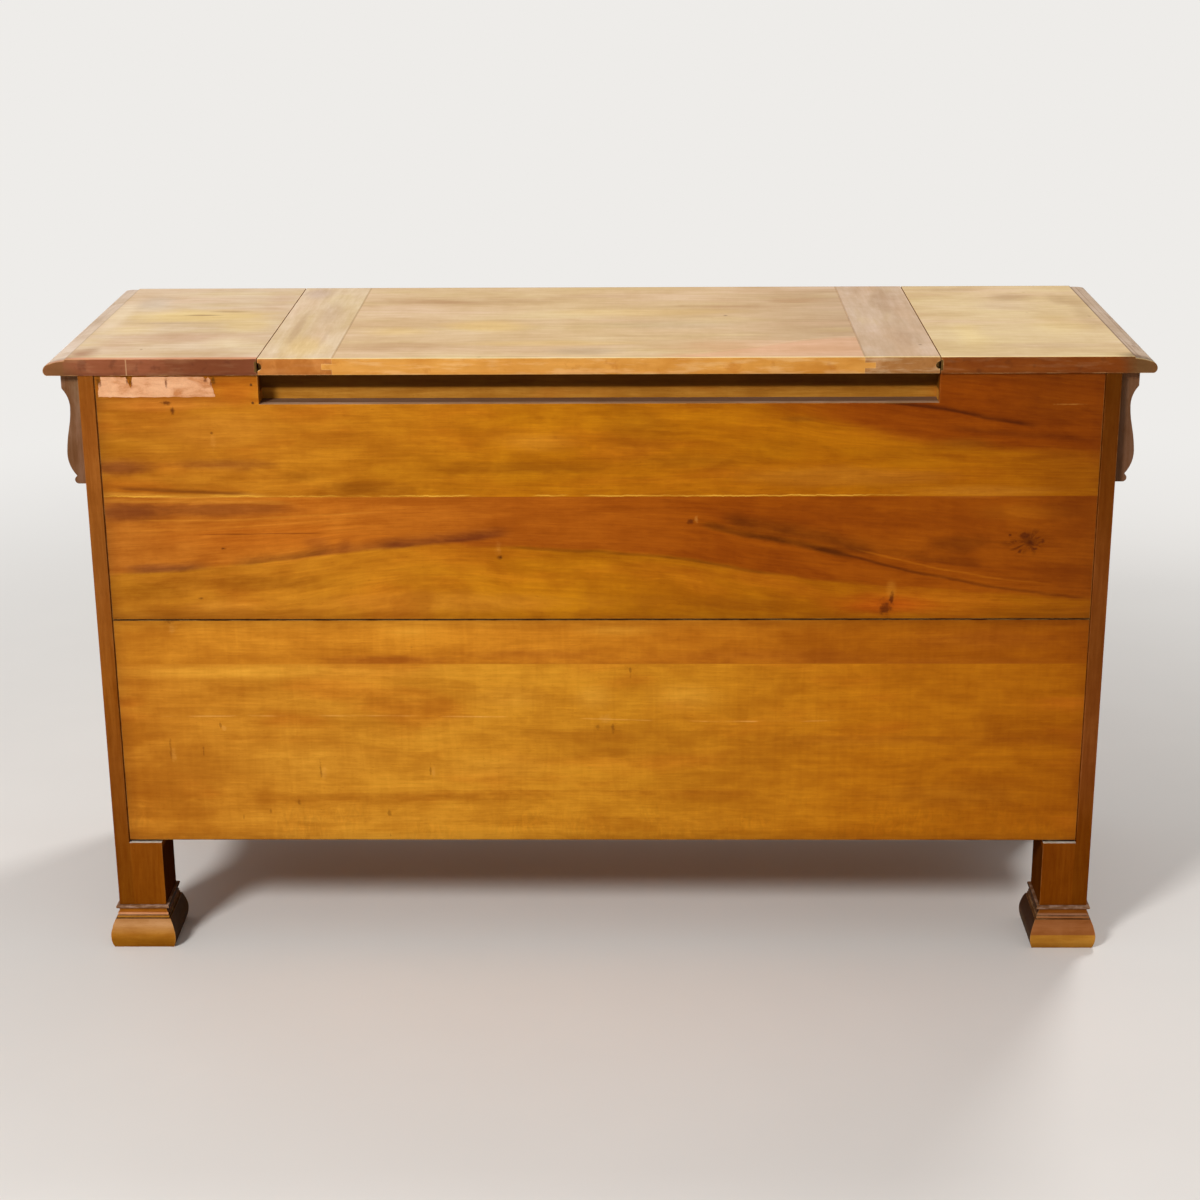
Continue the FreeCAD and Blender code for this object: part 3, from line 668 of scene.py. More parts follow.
def upperPanelOverlay(kit, colour, look):
    tree, right = kit["tree"], kit["right"]
    panel = upperPanel
    flat = panelFlat(kit)
    sway = noiseAt(tree, kit["place"], (0.11, 1.0, 0.04), 7.0, 4.0, 0.6)
    sway = calc(tree, "MULTIPLY_ADD", sway, panel["sway"], -panel["sway"] / 2)
    joint, ease = panel["gluedJoint"], panel["toneEase"]
    belowJoint = softStep(tree, kit["z"], joint + ease, joint - ease)
    heart = product(tree, inHeartwood(kit, panel["lines"]["heartEdge"], sway, panel["heartEase"]), belowJoint)
    colour = blendColour(tree, heart, colour, toneRamp(kit, "right", panel["heartAcross"]))
    heart = inHeartwood(kit, panel["upperHeartEdge"], sway, panel["upperHeartEase"])
    aboveJoint = calc(tree, "SUBTRACT", 1.0, belowJoint)
    heart = product(tree, heart, aboveJoint, softStep(tree, right, *panel["upperHeartFrom"]))
    colour = layer(kit, colour, heart, 1.0, panel["upperHeartTone"])
    colour = addSpots(kit, colour, flat, panel["spots"])
    colour = addStreaks(kit, colour, panel, product(tree, sway, 0.5))
    colour = addMarks(kit, colour, flat, panel["flames"], panel["flameTone"], *panel["flameShare"])
    colour = addMarks(kit, colour, flat, panel["knots"], panel["knotTone"], *panel["knotShare"])
    colour = addMarks(kit, colour, flat, panel["tearMarks"], panel["tearTone"], *panel["tearShare"])
    for star in panel["stars"]:
        colour = layer(kit, colour, starMask(kit, flat, *star), panel["starShare"], panel["starTone"])
    colour = addGlueLine(kit, colour, panel)
    # painted shade, darker towards the right post
    start, end, share, tone = panel["paintedRightShade"]
    colour = layer(kit, colour, softStep(tree, right, start, end), share, tone)
    colour = joinGrime(kit, colour, "back_panel_upper", panel)
    # the cut edge along the bottom of the lid's recess
    return layer(kit, colour, facingAlong(kit, "Z", *faceUp), 1.0, panel["dustTone"])


lowerPanel = {
    "look": {
        "seed": 5.0, "depth": 0.18, "bands": (0.6, 0.045), "blushShare": 0.3, "fibre": 0.055, "ripple": 0.035,
        # tones across the board: darker towards the right, partly as painted shade and partly as the wood's
        # own tone
        "across": (
            (-0.62, (178, 108, 25)), (-0.3, (200, 133, 34)), (0.06, (194, 126, 25)), (0.34, (184, 109, 12)),
            (0.62, (162, 88, 4)),
        ),
    },
    "gluedJoint": 0.397,
    "jointEase": 0.0004,
    "boardStep": -2.0,
    # darker towards the right, partly as painted shade and partly as the wood's own tone
    "topBoardAcross": (
        (-0.62, (188, 118, 28)), (-0.2, (198, 124, 28)), (0.12, (180, 104, 17)), (0.34, (168, 92, 8)),
        (0.62, (152, 78, 4)),
    ),
    "spots": (
        ((216, 150, 46), (
            (-0.42, 0.386, 0.28, 0.012, 0.5), (-0.12, 0.35, 0.055, 0.02, 0.45),
            (-0.01, 0.352, 0.03, 0.022, 0.55), (0.11, 0.352, 0.06, 0.024, 0.45),
            (-0.38, 0.262, 0.11, 0.028, 0.5), (-0.14, 0.255, 0.1, 0.022, 0.3),
            (-0.24, 0.44, 0.05, 0.012, 0.35), (0.02, 0.442, 0.07, 0.01, 0.35),
            (-0.33, 0.18, 0.2, 0.01, 0.25), (-0.48, 0.385, 0.12, 0.01, 0.4),
        )),
        ((168, 98, 16), (
            (-0.5, 0.35, 0.09, 0.018, 0.4), (-0.25, 0.345, 0.08, 0.018, 0.3),
            (-0.605, 0.3, 0.03, 0.024, 0.5), (-0.35, 0.212, 0.3, 0.01, 0.5),
            (0.33, 0.29, 0.17, 0.012, 0.45), (0.44, 0.215, 0.14, 0.022, 0.4),
            (-0.45, 0.165, 0.15, 0.014, 0.3), (-0.56, 0.185, 0.07, 0.022, 0.45),
            (-0.59, 0.235, 0.04, 0.04, 0.35), (0.08, 0.27, 0.15, 0.016, 0.35),
            (-0.55, 0.16, 0.1, 0.014, 0.4), (0.06, 0.175, 0.18, 0.018, 0.4), (-0.02, 0.3, 0.12, 0.01, 0.3),
        )),
        ((158, 82, 18), (
            (-0.27, 0.403, 0.08, 0.006, 0.6), (-0.08, 0.41, 0.11, 0.01, 0.45),
            (0.2, 0.408, 0.18, 0.01, 0.35), (0.48, 0.43, 0.12, 0.02, 0.3),
        )),
    ),
    "ticks": (
        (-0.549, 0.454, 0.007, 0.003), (-0.491, 0.313, 0.0016, 0.006), (-0.558, 0.278, 0.0018, 0.014),
        (-0.515, 0.276, 0.0012, 0.007), (-0.364, 0.25, 0.0018, 0.012), (-0.221, 0.25, 0.0014, 0.01),
        (-0.432, 0.192, 0.0018, 0.008), (-0.468, 0.184, 0.0016, 0.006), (-0.276, 0.157, 0.0016, 0.005),
        (-0.004, 0.31, 0.004, 0.004), (0.016, 0.309, 0.0025, 0.008), (-0.277, 0.19, 0.003, 0.006),
        (0.039, 0.386, 0.0016, 0.008), (-0.24, 0.42, 0.002, 0.001), (-0.395, 0.205, 0.003, 0.004),
    ),
    "tickTone": (112, 58, 10),
    "flames": (
        (-0.545, 0.446, 0.006, 0.008), (0.006, 0.322, 0.01, 0.006), (-0.36, 0.247, 0.004, 0.01),
        (-0.217, 0.246, 0.003, 0.009), (-0.487, 0.309, 0.004, 0.005), (-0.554, 0.272, 0.004, 0.012),
    ),
    "flameTone": (228, 168, 84),
    "flameShare": (0.18, 1.0),
    "tickShare": (0.5, 1.6),
    "streakEase": 0.05,
    "streakBreak": (0.6, 0.42, 0.35, 1.0),
    "streaks": (
        ("low", 0.0015, 0.016, -0.24, 0.2, 0.55, (164, 90, 14)),
        ("joint", 0.016, 0.001, -0.34, -0.18, 0.45, (160, 84, 20)),
        ("joint", 0.012, 0.001, -0.13, 0.56, 0.35, (160, 84, 20)),
        ("middle", 0.006, 0.012, -0.58, -0.36, 0.25, (170, 98, 18)),
        ("right", 0.004, 0.014, 0.24, 0.6, 0.4, (150, 78, 8)),
        ("right", 0.03, 0.002, 0.24, 0.6, 0.18, (150, 78, 8)),
    ),
    "lines": {
        "low": ((-0.62, 0.223), (-0.23, 0.2215), (0.01, 0.221), (0.62, 0.218)),
        "joint": ((-0.62, 0.397), (0.62, 0.3974)),
        "middle": ((-0.62, 0.299), (-0.36, 0.296), (0.62, 0.294)),
        "right": ((-0.62, 0.3), (0.26, 0.296), (0.62, 0.293)),
    },
    "paleLine": ((-0.62, 0.321), (-0.4, 0.326), (-0.1, 0.324), (0.2, 0.318), (0.33, 0.323)),
    "paleStretch": (-0.58, 0.28, 0.05),
    "paleHalfWidth": 0.0015,
    "paleShare": 0.45,
    "paleBreak": (0.45, 0.6),
    "crossRipples": {"below": (0.225, 0.18), "patches": (0.42, 0.58), "change": (0.35, 0.65, 0.93, 1.07)},
    "grime": (0.0013, 0.6),
    "grimeAndShadeTone": (54, 26, 8),
    "sideGrime": (84, 38, 10),
}


def aboveLowerJoint(kit):  # 1 on the upper board of the lower panel
    joint, ease = lowerPanel["gluedJoint"], lowerPanel["jointEase"]
    return softStep(kit["tree"], kit["z"], joint - ease, joint + ease)


def lowerPanelBend(kit):
    step = lowerPanel["boardStep"]
    return movedUp(kit, calc(kit["tree"], "MULTIPLY_ADD", aboveLowerJoint(kit), step, kit["z"]))


def addPaleLine(kit, colour, panel):
    tree = kit["tree"]
    line = curveHeight(tree, kit["right"], panel["paleLine"])
    patches = noiseAt(tree, kit["place"], (0.08, 1.0, 0.01), 27.0, 3.0, 0.6)
    broken = softStep(tree, patches, *panel["paleBreak"])
    near = nearLine(kit, line, panel["paleHalfWidth"], panel["paleHalfWidth"])
    mask = product(tree, near, between(kit, "right", *panel["paleStretch"]), broken)
    return layer(kit, colour, mask, panel["paleShare"], panel["flameTone"])


def addCrossRipples(kit, colour, look):  # ripples across the polish near the foot of the board
    tree = kit["tree"]
    ripples = noiseAt(tree, kit["place"], (0.008, 1.0, 0.02), 28.0, 4.0, 0.6, 1.2)
    patches = noiseAt(tree, kit["place"], (0.09, 1.0, 0.05), 29.0, 3.0, 0.5)
    low = product(tree, softStep(tree, kit["z"], *look["below"]), softStep(tree, patches, *look["patches"]))
    ripples = softStep(tree, ripples, *look["change"])
    ripples = calc(tree, "MULTIPLY_ADD", calc(tree, "SUBTRACT", ripples, 1.0), low, 1.0)
    return brighten(tree, colour, ripples)


def lowerPanelOverlay(kit, colour, look):
    tree = kit["tree"]
    panel = lowerPanel
    flat = panelFlat(kit)
    topBoard = toneRamp(kit, "right", panel["topBoardAcross"])
    colour = blendColour(tree, aboveLowerJoint(kit), colour, topBoard)
    colour = addSpots(kit, colour, flat, panel["spots"])
    colour = addStreaks(kit, colour, panel)
    colour = addMarks(kit, colour, flat, panel["flames"], panel["flameTone"], *panel["flameShare"])
    colour = addMarks(kit, colour, flat, panel["ticks"], panel["tickTone"], *panel["tickShare"])
    colour = addPaleLine(kit, colour, panel)
    colour = addCrossRipples(kit, colour, panel["crossRipples"])
    return joinGrime(kit, colour, "back_panel_lower", panel)


backWood = woodMaterial("upper back panel", upperPanel["look"], upperPanelOverlay, upperPanelBend)
dress(backWood, "back_panel_upper")
backWood = woodMaterial("lower back panel", lowerPanel["look"], lowerPanelOverlay, lowerPanelBend)
dress(backWood, "back_panel_lower")
softenEdges(0.0004, "back_panel_upper", "back_panel_lower")
print("back panels done")


# Posts, feet and corbels
postLook = {
    "shared": {
        "grain": "Z", "bands": (0.5, 0.02), "clouds": (0.12, 0.03), "depth": 0.13, "blush": (150, 76, 26),
        "wear": 0.4, "wearTone": (196, 132, 74), "specular": 0.0,
    },
    # the left and right posts are partly lit and shaded copies of one wood: the right posts' darker tones,
    # darkest at their top, are partly painted shade
    "left": {
        "seed": 8.0, "underTone": (60, 27, 6),
        "upwards": (
            (0.058, (102, 44, 8)), (0.16, (108, 48, 12)), (0.26, (126, 63, 23)), (0.36, (132, 67, 21)),
            (0.46, (137, 73, 30)), (0.56, (144, 82, 37)), (0.7, (148, 80, 33)), (0.776, (136, 73, 30)),
        ),
    },
    "right": {
        "seed": 13.0, "blush": (118, 56, 14), "tone": (168, 100, 16), "underTone": (77, 37, 5),
        "upwards": (
            (0.058, (98, 38, 2)), (0.17, (106, 44, 6)), (0.26, (126, 62, 28)), (0.4, (118, 58, 24)),
            (0.52, (124, 62, 26)), (0.6, (108, 49, 16)), (0.776, (68, 21, 6)),
        ),
    },
    "stripFrom": 0.62,  # the outer strip of each post, past the line of the side panel's housing
    "stripEase": 0.001,
    "stripShade": 0.82,
    "rampShare": 0.8,
    "ledgeBelow": (0.7, 0.6),
    "ledgeTone": (206, 190, 172),
    "shadeUnderChest": (0.15, 0.135),  # below here the sides that look under the chest take a painted shade tone
}


def facingInward(kit):  # 1 on the sides that look towards the middle of the chest
    tree = kit["tree"]
    turnedOut = calc(tree, "MULTIPLY", kit["facingX"], calc(tree, "SIGN", kit["x"]))
    return softStep(tree, turnedOut, -0.5, -0.8)


def postOverlay(kit, colour, look):
    tree = kit["tree"]
    colour = blendColour(tree, postLook["rampShare"], colour, toneRamp(kit, "z", look["upwards"]))
    start, ease = postLook["stripFrom"], postLook["stripEase"]
    strip = softStep(tree, kit["outward"], start - ease, start + ease)
    strip = product(tree, strip, facingAlong(kit, "Y", *faceBack))
    shade = calc(tree, "MULTIPLY_ADD", strip, postLook["stripShade"] - 1, 1.0)
    colour = brighten(tree, colour, shade)
    # painted shade on the sides that look under the chest
    paintedUnderShade = product(tree, facingInward(kit), softStep(tree, kit["z"], *postLook["shadeUnderChest"]))
    colour = layer(kit, colour, paintedUnderShade, 1.0, look["underTone"])
    ledge = product(tree, facingAlong(kit, "Z", *faceUp), softStep(tree, kit["z"], *postLook["ledgeBelow"]))
    return layer(kit, colour, ledge, 1.0, postLook["ledgeTone"])


mirroredSides = (("left", "right"), ("right", "left"))  # the photo's left is the chest's right
for side, mirrored in mirroredSides:
    nodes = ("rear_post_" + mirrored, "front_post_" + mirrored)
    dress(woodMaterial(side + " posts", dict(postLook["shared"], **postLook[side]), postOverlay), *nodes)
    softenEdges(0.0006, *nodes)

footLook = {
    "shared": {
        "bands": (0.16, 0.016), "clouds": (0.05, 0.02), "depth": 0.14, "blushShare": 0.15,
        "wear": 0.45, "wearTone": (214, 160, 104), "fibre": 0.04, "specular": 0.02,
    },
    # height in the foot and the tone that starts there
    "left": {
        "seed": 17.0,
        # the pale stops on the upward-facing shoulder are partly a painted highlight
        "bottomUp": (
            (0.0, (126, 74, 14)), (0.01, (140, 88, 18)), (0.019, (162, 104, 34)), (0.025, (174, 120, 62)),
            (0.033, (182, 134, 88)), (0.0395, (168, 118, 74)), (0.041, (168, 112, 38)),
            (0.0432, (166, 110, 44)), (0.0446, (206, 144, 106)), (0.047, (200, 136, 96)),
            (0.048, (128, 66, 12)), (0.0534, (150, 86, 22)),
        ),
    },
    "right": {
        "seed": 19.0,
        "bottomUp": (
            (0.0, (150, 98, 32)), (0.01, (176, 120, 44)), (0.0194, (186, 128, 48)), (0.0204, (148, 88, 50)),
            (0.033, (136, 80, 48)), (0.0395, (124, 70, 40)), (0.041, (140, 82, 44)),
            (0.0432, (150, 96, 66)), (0.0446, (144, 100, 78)), (0.047, (130, 88, 66)),
            (0.048, (104, 50, 16)), (0.0534, (120, 60, 18)),
        ),
    },
    "rampShare": 0.85,
    "grooves": (0.0402, 0.0439),
    "grooveEase": (0.0007, 0.0004),
    "grooveShare": 0.85,
    "grooveTone": (64, 34, 12),
    "beadFrom": 0.0536,
    "beadEase": 0.0004,
    "beadShare": 0.9,
    "dustPatches": (0.44, 0.66),
    "beadTone": (108, 74, 50),
    "beadDustTone": (150, 118, 96),
    # painted shade on the sides of the feet that face the middle of the chest
    "grimeAndShadeTone": (34, 14, 0),
    "innerShadeShare": 0.93,
}


def footOverlay(kit, colour, look):
    tree, z = kit["tree"], kit["z"]
    colour = blendColour(tree, footLook["rampShare"], colour, toneRamp(kit, "z", look["bottomUp"]))
    for groove in footLook["grooves"]:
        mask = softStep(tree, distance(tree, z, groove), *footLook["grooveEase"])
        colour = layer(kit, colour, mask, footLook["grooveShare"], footLook["grooveTone"])
    start, ease = footLook["beadFrom"], footLook["beadEase"]
    bead = softStep(tree, z, start - ease, start + ease)
    dust = noiseAt(tree, kit["place"], (0.012, 0.012, 0.003), 18.0, 4.0, 0.6)
    dust = softStep(tree, dust, *footLook["dustPatches"])
    beadColour = layer(kit, paint(*footLook["beadTone"]), dust, 1.0, footLook["beadDustTone"])
    colour = blendColour(tree, calc(tree, "MULTIPLY", bead, footLook["beadShare"]), colour, beadColour)
    # painted shade on the inner sides of the feet
    return layer(kit, colour, facingInward(kit), footLook["innerShadeShare"], footLook["grimeAndShadeTone"])


for side, mirrored in mirroredSides:
    look = dict(footLook["shared"], **footLook[side])
    nodes = ("rear_foot_" + mirrored, "front_foot_" + mirrored)
    dress(woodMaterial(side + " feet", look, footOverlay), *nodes)
    softenEdges(0.0003, *nodes)

corbelLook = {
    "grain": "Z", "tone": (116, 80, 54), "bands": (0.3, 0.014), "clouds": (0.05, 0.02), "depth": 0.22,
    "blush": (92, 56, 34), "blushShare": 0.5, "olive": (134, 112, 82), "oliveShare": 0.3,
    "wear": 0.35, "wearTone": (150, 124, 98), "seed": 21.0,
    "roughness": 0.55,
}
dress(woodMaterial("corbels", corbelLook), "rear_corbels", "front_corbels")
softenEdges(0.0005, "rear_corbels", "front_corbels")
print("posts, feet and corbels done")


# The top: bleached upper faces, with brown moulded and sawn edges
topLook = {
    "shared": {
        "wear": 0.55, "wearTone": (226, 176, 112), "wearReach": 0.0018, "roughness": 0.58, "depth": 0.095,
        "sway": 0.002, "mottle": (0.07, 0.04), "shares": (0.34, 0.4, 0.26), "specular": 0.1,
        "ripple": 0.01,
        "lines": (0.12, 0.009), "fineLines": (0.04, 0.006), "bands": (0.4, 0.08), "clouds": (0.13, 0.1),
        "blush": (216, 180, 148), "blushShare": 0.4,
        "olive": (212, 184, 126), "oliveShare": 0.35, "fibre": 0.04, "pores": 0.06,
        # a pale line along the rear arris: partly worn wood, partly a painted highlight
        "arrisTone": (240, 214, 146), "arrisFrom": (0.229, 0.2325), "arrisShare": 0.75,
        "quirkShare": 0.8, "scuffs": 0.06, "scuffTone": (232, 192, 138), "slopeTone": (186, 158, 130),
        "slopeLines": 0.45,
        "slopePatches": 0.35,
    },
    "top_slab_right": {
        "seed": 25.0, "tone": (213, 184, 148), "slopeTone": (212, 186, 160), "slopeLines": 0.22,
        "slopePatches": 0.18,
        "quirkShare": 0.25,
        "corner": (-0.662, 0.23, 0.034, 0.024, 0.35),  # right, y, half widths and share of the grime there
        "arrisTone": (206, 132, 92), "arrisFrom": (0.22, 0.231), "arrisShare": 0.85,
        "scratch": (-0.579, 0.0012, 0.32),  # place along the top, half width and share
        "edge": (120, 64, 36), "edgePale": (148, 84, 52), "edgeDark": (84, 40, 24),
        "spots": (
            ((234, 204, 138), (
                (-0.545, -0.03, 0.12, 0.05, 0.75), (-0.61, 0.06, 0.05, 0.05, 0.35),
                (-0.46, 0.03, 0.04, 0.06, 0.45),
            )),
            ((210, 190, 168), ((-0.61, -0.11, 0.035, 0.06, 0.6),)),
            ((198, 158, 126), (
                (-0.54, 0.12, 0.14, 0.045, 0.65), (-0.44, -0.14, 0.03, 0.08, 0.4),
                (-0.56, 0.2, 0.12, 0.03, 0.35), (-0.61, 0.15, 0.04, 0.06, 0.5),
            )),
            ((230, 204, 164), ((-0.47, 0.135, 0.045, 0.04, 0.65), (-0.54, -0.17, 0.08, 0.03, 0.35))),
            ((150, 110, 72), (
                (-0.632, 0.181, 0.016, 0.02, 0.45), (-0.64, 0.205, 0.016, 0.014, 0.65),
                (-0.571, 0.179, 0.003, 0.004, 0.8), (-0.532, -0.031, 0.026, 0.005, 0.6),
                (-0.5, -0.055, 0.03, 0.008, 0.4), (-0.56, 0.02, 0.06, 0.006, 0.3),
            )),
            ((170, 126, 94), ((-0.64, 0.21, 0.028, 0.05, 0.75),)),
            ((236, 212, 178), ((-0.642, -0.03, 0.018, 0.13, 0.7),)),
        ),
    },
    "lid_clamp_right": {
        "grain": "Y", "bands": (0.35, 0.02), "seed": 37.0, "tone": (218, 190, 153),
        "edge": (178, 108, 44), "edgePale": (204, 134, 68), "edgeDark": (138, 76, 30),
        "spots": (
            ((194, 164, 144), ((-0.396, -0.178, 0.03, 0.05, 0.65), (-0.36, -0.06, 0.016, 0.1, 0.3))),
            ((230, 198, 136), ((-0.367, 0.172, 0.034, 0.07, 0.65),)),
            ((186, 150, 116), ((-0.392, 0.05, 0.006, 0.12, 0.45), (-0.35, 0.12, 0.004, 0.07, 0.35))),
        ),
    },
    "lid_panel": {
        "seed": 33.0,
        # a let-in strip of pinker wood: its front edge as (right, y) stops, its end, share and tone
        "strip": (
            ((0.07, 0.236), (0.11, 0.216), (0.201, 0.169), (0.29, 0.12), (0.33, 0.114)), 0.3255, 0.5,
            (224, 168, 130),
        ),
        "scuffs": 0.25,
        "edge": (200, 132, 50), "edgePale": (218, 158, 78), "edgeDark": (182, 108, 32),
        "across": (
            (-0.33, (212, 178, 136)), (-0.02, (212, 179, 132)), (0.15, (205, 170, 125)),
            (0.33, (188, 154, 116)),
        ),
        "spots": (
            ((184, 142, 98), (
                (-0.255, -0.116, 0.08, 0.018, 0.6), (0.26, -0.118, 0.06, 0.022, 0.6),
                (-0.148, -0.119, 0.1, 0.026, 0.4), (-0.04, -0.15, 0.1, 0.02, 0.35),
                (0.17, -0.08, 0.12, 0.012, 0.4), (-0.1, 0.01, 0.14, 0.012, 0.35),
                (0.06, 0.11, 0.14, 0.01, 0.35), (-0.25, 0.17, 0.07, 0.03, 0.35),
            )),
            ((234, 198, 126), (
                (-0.147, 0.046, 0.06, 0.05, 0.55), (-0.26, 0.08, 0.06, 0.03, 0.35),
                (0.03, -0.04, 0.16, 0.03, 0.3), (-0.06, 0.15, 0.12, 0.02, 0.35),
            )),
            ((194, 168, 136), ((-0.013, 0.198, 0.06, 0.026, 0.6), (0.1, 0.04, 0.12, 0.04, 0.35))),
            ((222, 170, 126), ((0.205, 0.176, 0.135, 0.06, 0.45), (0.12, 0.225, 0.07, 0.02, 0.45))),
            ((140, 102, 66), ((0.165, -0.019, 0.004, 0.005, 0.8), (-0.146, 0.228, 0.004, 0.003, 0.5))),
        ),
    },
    "lid_clamp_left": {
        "grain": "Y", "bands": (0.35, 0.02), "seed": 39.0, "tone": (196, 165, 134),
        "edge": (168, 114, 62), "edgePale": (204, 158, 112), "edgeDark": (128, 78, 34),
        "scuffs": 0.45, "scuffTone": (206, 176, 136),
        "spots": (
            ((172, 138, 106), (
                (0.388, -0.11, 0.026, 0.08, 0.55), (0.39, 0.12, 0.02, 0.06, 0.35),
                (0.35, -0.2, 0.02, 0.05, 0.35),
            )),
            ((214, 184, 158), ((0.352, 0.06, 0.018, 0.12, 0.4),)),
            ((140, 102, 70), ((0.401, 0.164, 0.003, 0.004, 0.8),)),
        ),
    },
    "top_slab_left": {
        "seed": 29.0, "edge": (122, 57, 8), "edgePale": (142, 75, 18), "edgeDark": (90, 43, 10),
        "tone": (210, 179, 130),
        "corner": (0.668, 0.228, 0.032, 0.02, 0.72),
        "slopePatches": 0.8,
        "spots": (
            ((174, 138, 94), (
                (0.642, -0.06, 0.02, 0.15, 0.4), (0.558, -0.135, 0.036, 0.04, 0.6),
                (0.48, -0.19, 0.05, 0.02, 0.4), (0.62, -0.12, 0.016, 0.05, 0.4),
                (0.583, -0.172, 0.004, 0.004, 0.6), (0.565, -0.031, 0.003, 0.004, 0.5),
                (0.643, -0.007, 0.003, 0.01, 0.5),
            )),
            ((228, 198, 132), ((0.47, 0.106, 0.034, 0.085, 0.55), (0.59, 0.06, 0.05, 0.08, 0.35))),
            ((204, 172, 138), ((0.54, -0.08, 0.06, 0.06, 0.5), (0.56, 0.17, 0.08, 0.02, 0.35))),
        ),
    },
    "quirkAt": (0.654, -0.218),  # along X on both sides and along Y at the front
    # distances past that edge over which the quirk comes and goes, and the slope and the nose come in
    "quirkFrom": (-0.0012, -0.0002),
    "quirkTo": (0.0038, 0.0026),
    "slopeFrom": (0.001, 0.0022),
    "noseFrom": (0.001, 0.004),
    "noseShare": 0.85,
    "slopeLines": (0.54, 0.66),
    "slopePatches": (0.5, 0.66),
    "lineCell": (0.0035, 0.3),  # width and length of the lines along the slope
    "quirkTone": (92, 52, 24),
    "clampJointAt": 0.326,
    "jointWidth": (0.0018, 0.0006),
    "jointShare": 0.45,
    "jointTone": (140, 100, 62),
    "cornerTone": (104, 78, 44),
    "stripInset": (0.004, 0.0005),
    "stripEase": (-0.002, 0.012),
    "brinkWidth": (0.0022, 0.0006),
    "brinkShare": 0.35,
    "brinkTone": (236, 196, 150),
    # where each layer of the sawn edges comes in, and its share
    "edgePale": ((0.46, 0.58), 0.4),
    "edgePatches": ((0.55, 0.68), 0.45),
    "edgeFoot": ((0.781, 0.7765), 0.35),
    "scuffPatches": (0.48, 0.66),
    "scratchBreak": (0.3, 0.45),
    "upright": (0.8, 0.45),
    "faceDown": (-0.5, -0.8),
    "underTone": (166, 106, 48),
    "slopeLineTone": (122, 78, 48),
    "noseTone": (122, 72, 36),
}


def topSlope(kit, look, pastSide, pastFront):  # the moulded slope, with lines that run along it
    tree = kit["tree"]
    across, along = topLook["lineCell"]
    sideLines = noiseAt(tree, kit["place"], (across, along, across), 26.0, 3.0, 0.6)
    frontLines = noiseAt(tree, kit["place"], (along, across, across), 26.0, 3.0, 0.6)
    atFront = calc(tree, "GREATER_THAN", pastFront, pastSide)
    lines = addNode(tree, "ShaderNodeMix", {0: atFront, 2: sideLines, 3: frontLines}).outputs[0]
    lines = softStep(tree, lines, *topLook["slopeLines"])
    slope = layer(kit, paint(*look["slopeTone"]), lines, look["slopeLines"], topLook["slopeLineTone"])
    patches = softStep(tree, kit["patches"], *topLook["slopePatches"])
    return layer(kit, slope, patches, look["slopePatches"], topLook["slopeLineTone"])


def letInStrip(kit, colour, strip):  # the pinker strip, with a pale line along its front edge
    tree = kit["tree"]
    frontEdge, end, share, tone = strip
    inset, ease = topLook["stripInset"]
    behind = calc(tree, "SUBTRACT", kit["y"], curveHeight(tree, kit["right"], frontEdge))
    inLid = between(kit, "right", frontEdge[0][0] + inset, end - ease, ease)
    mask = product(tree, inLid, softStep(tree, behind, *topLook["stripEase"]))
    colour = layer(kit, colour, mask, share, tone)
    brink = product(tree, inLid, softStep(tree, calc(tree, "ABSOLUTE", behind), *topLook["brinkWidth"]))
    return layer(kit, colour, brink, topLook["brinkShare"], topLook["brinkTone"])


def sawnEdge(kit, look):  # the upright edges, darker towards their foot and scuffed
    tree = kit["tree"]
    edge = paint(*look["edge"])
    layers = (
        ("figure", "edgePale", "edgePale"), ("patches", "edgePatches", "edgeDark"),
        ("z", "edgeFoot", "edgeDark"),
    )
    for source, name, tone in layers:
        stretch, share = topLook[name]
        edge = layer(kit, edge, softStep(tree, kit[source], *stretch), share, look[tone])
    scuffs = noiseAt(tree, kit["place"], (0.05, 0.05, 0.008), 34.0, 4.0, 0.6)
    mask = softStep(tree, scuffs, *topLook["scuffPatches"])
    edge = layer(kit, edge, mask, look["scuffs"], look["scuffTone"])
    if "scratch" in look:
        right, halfWidth, share = look["scratch"]
        scratch = softStep(tree, distance(tree, kit["right"], right), halfWidth, 0.0)
        scratch = product(tree, scratch, softStep(tree, scuffs, *topLook["scratchBreak"]))
        edge = layer(kit, edge, scratch, share, look["scuffTone"])
    return edge


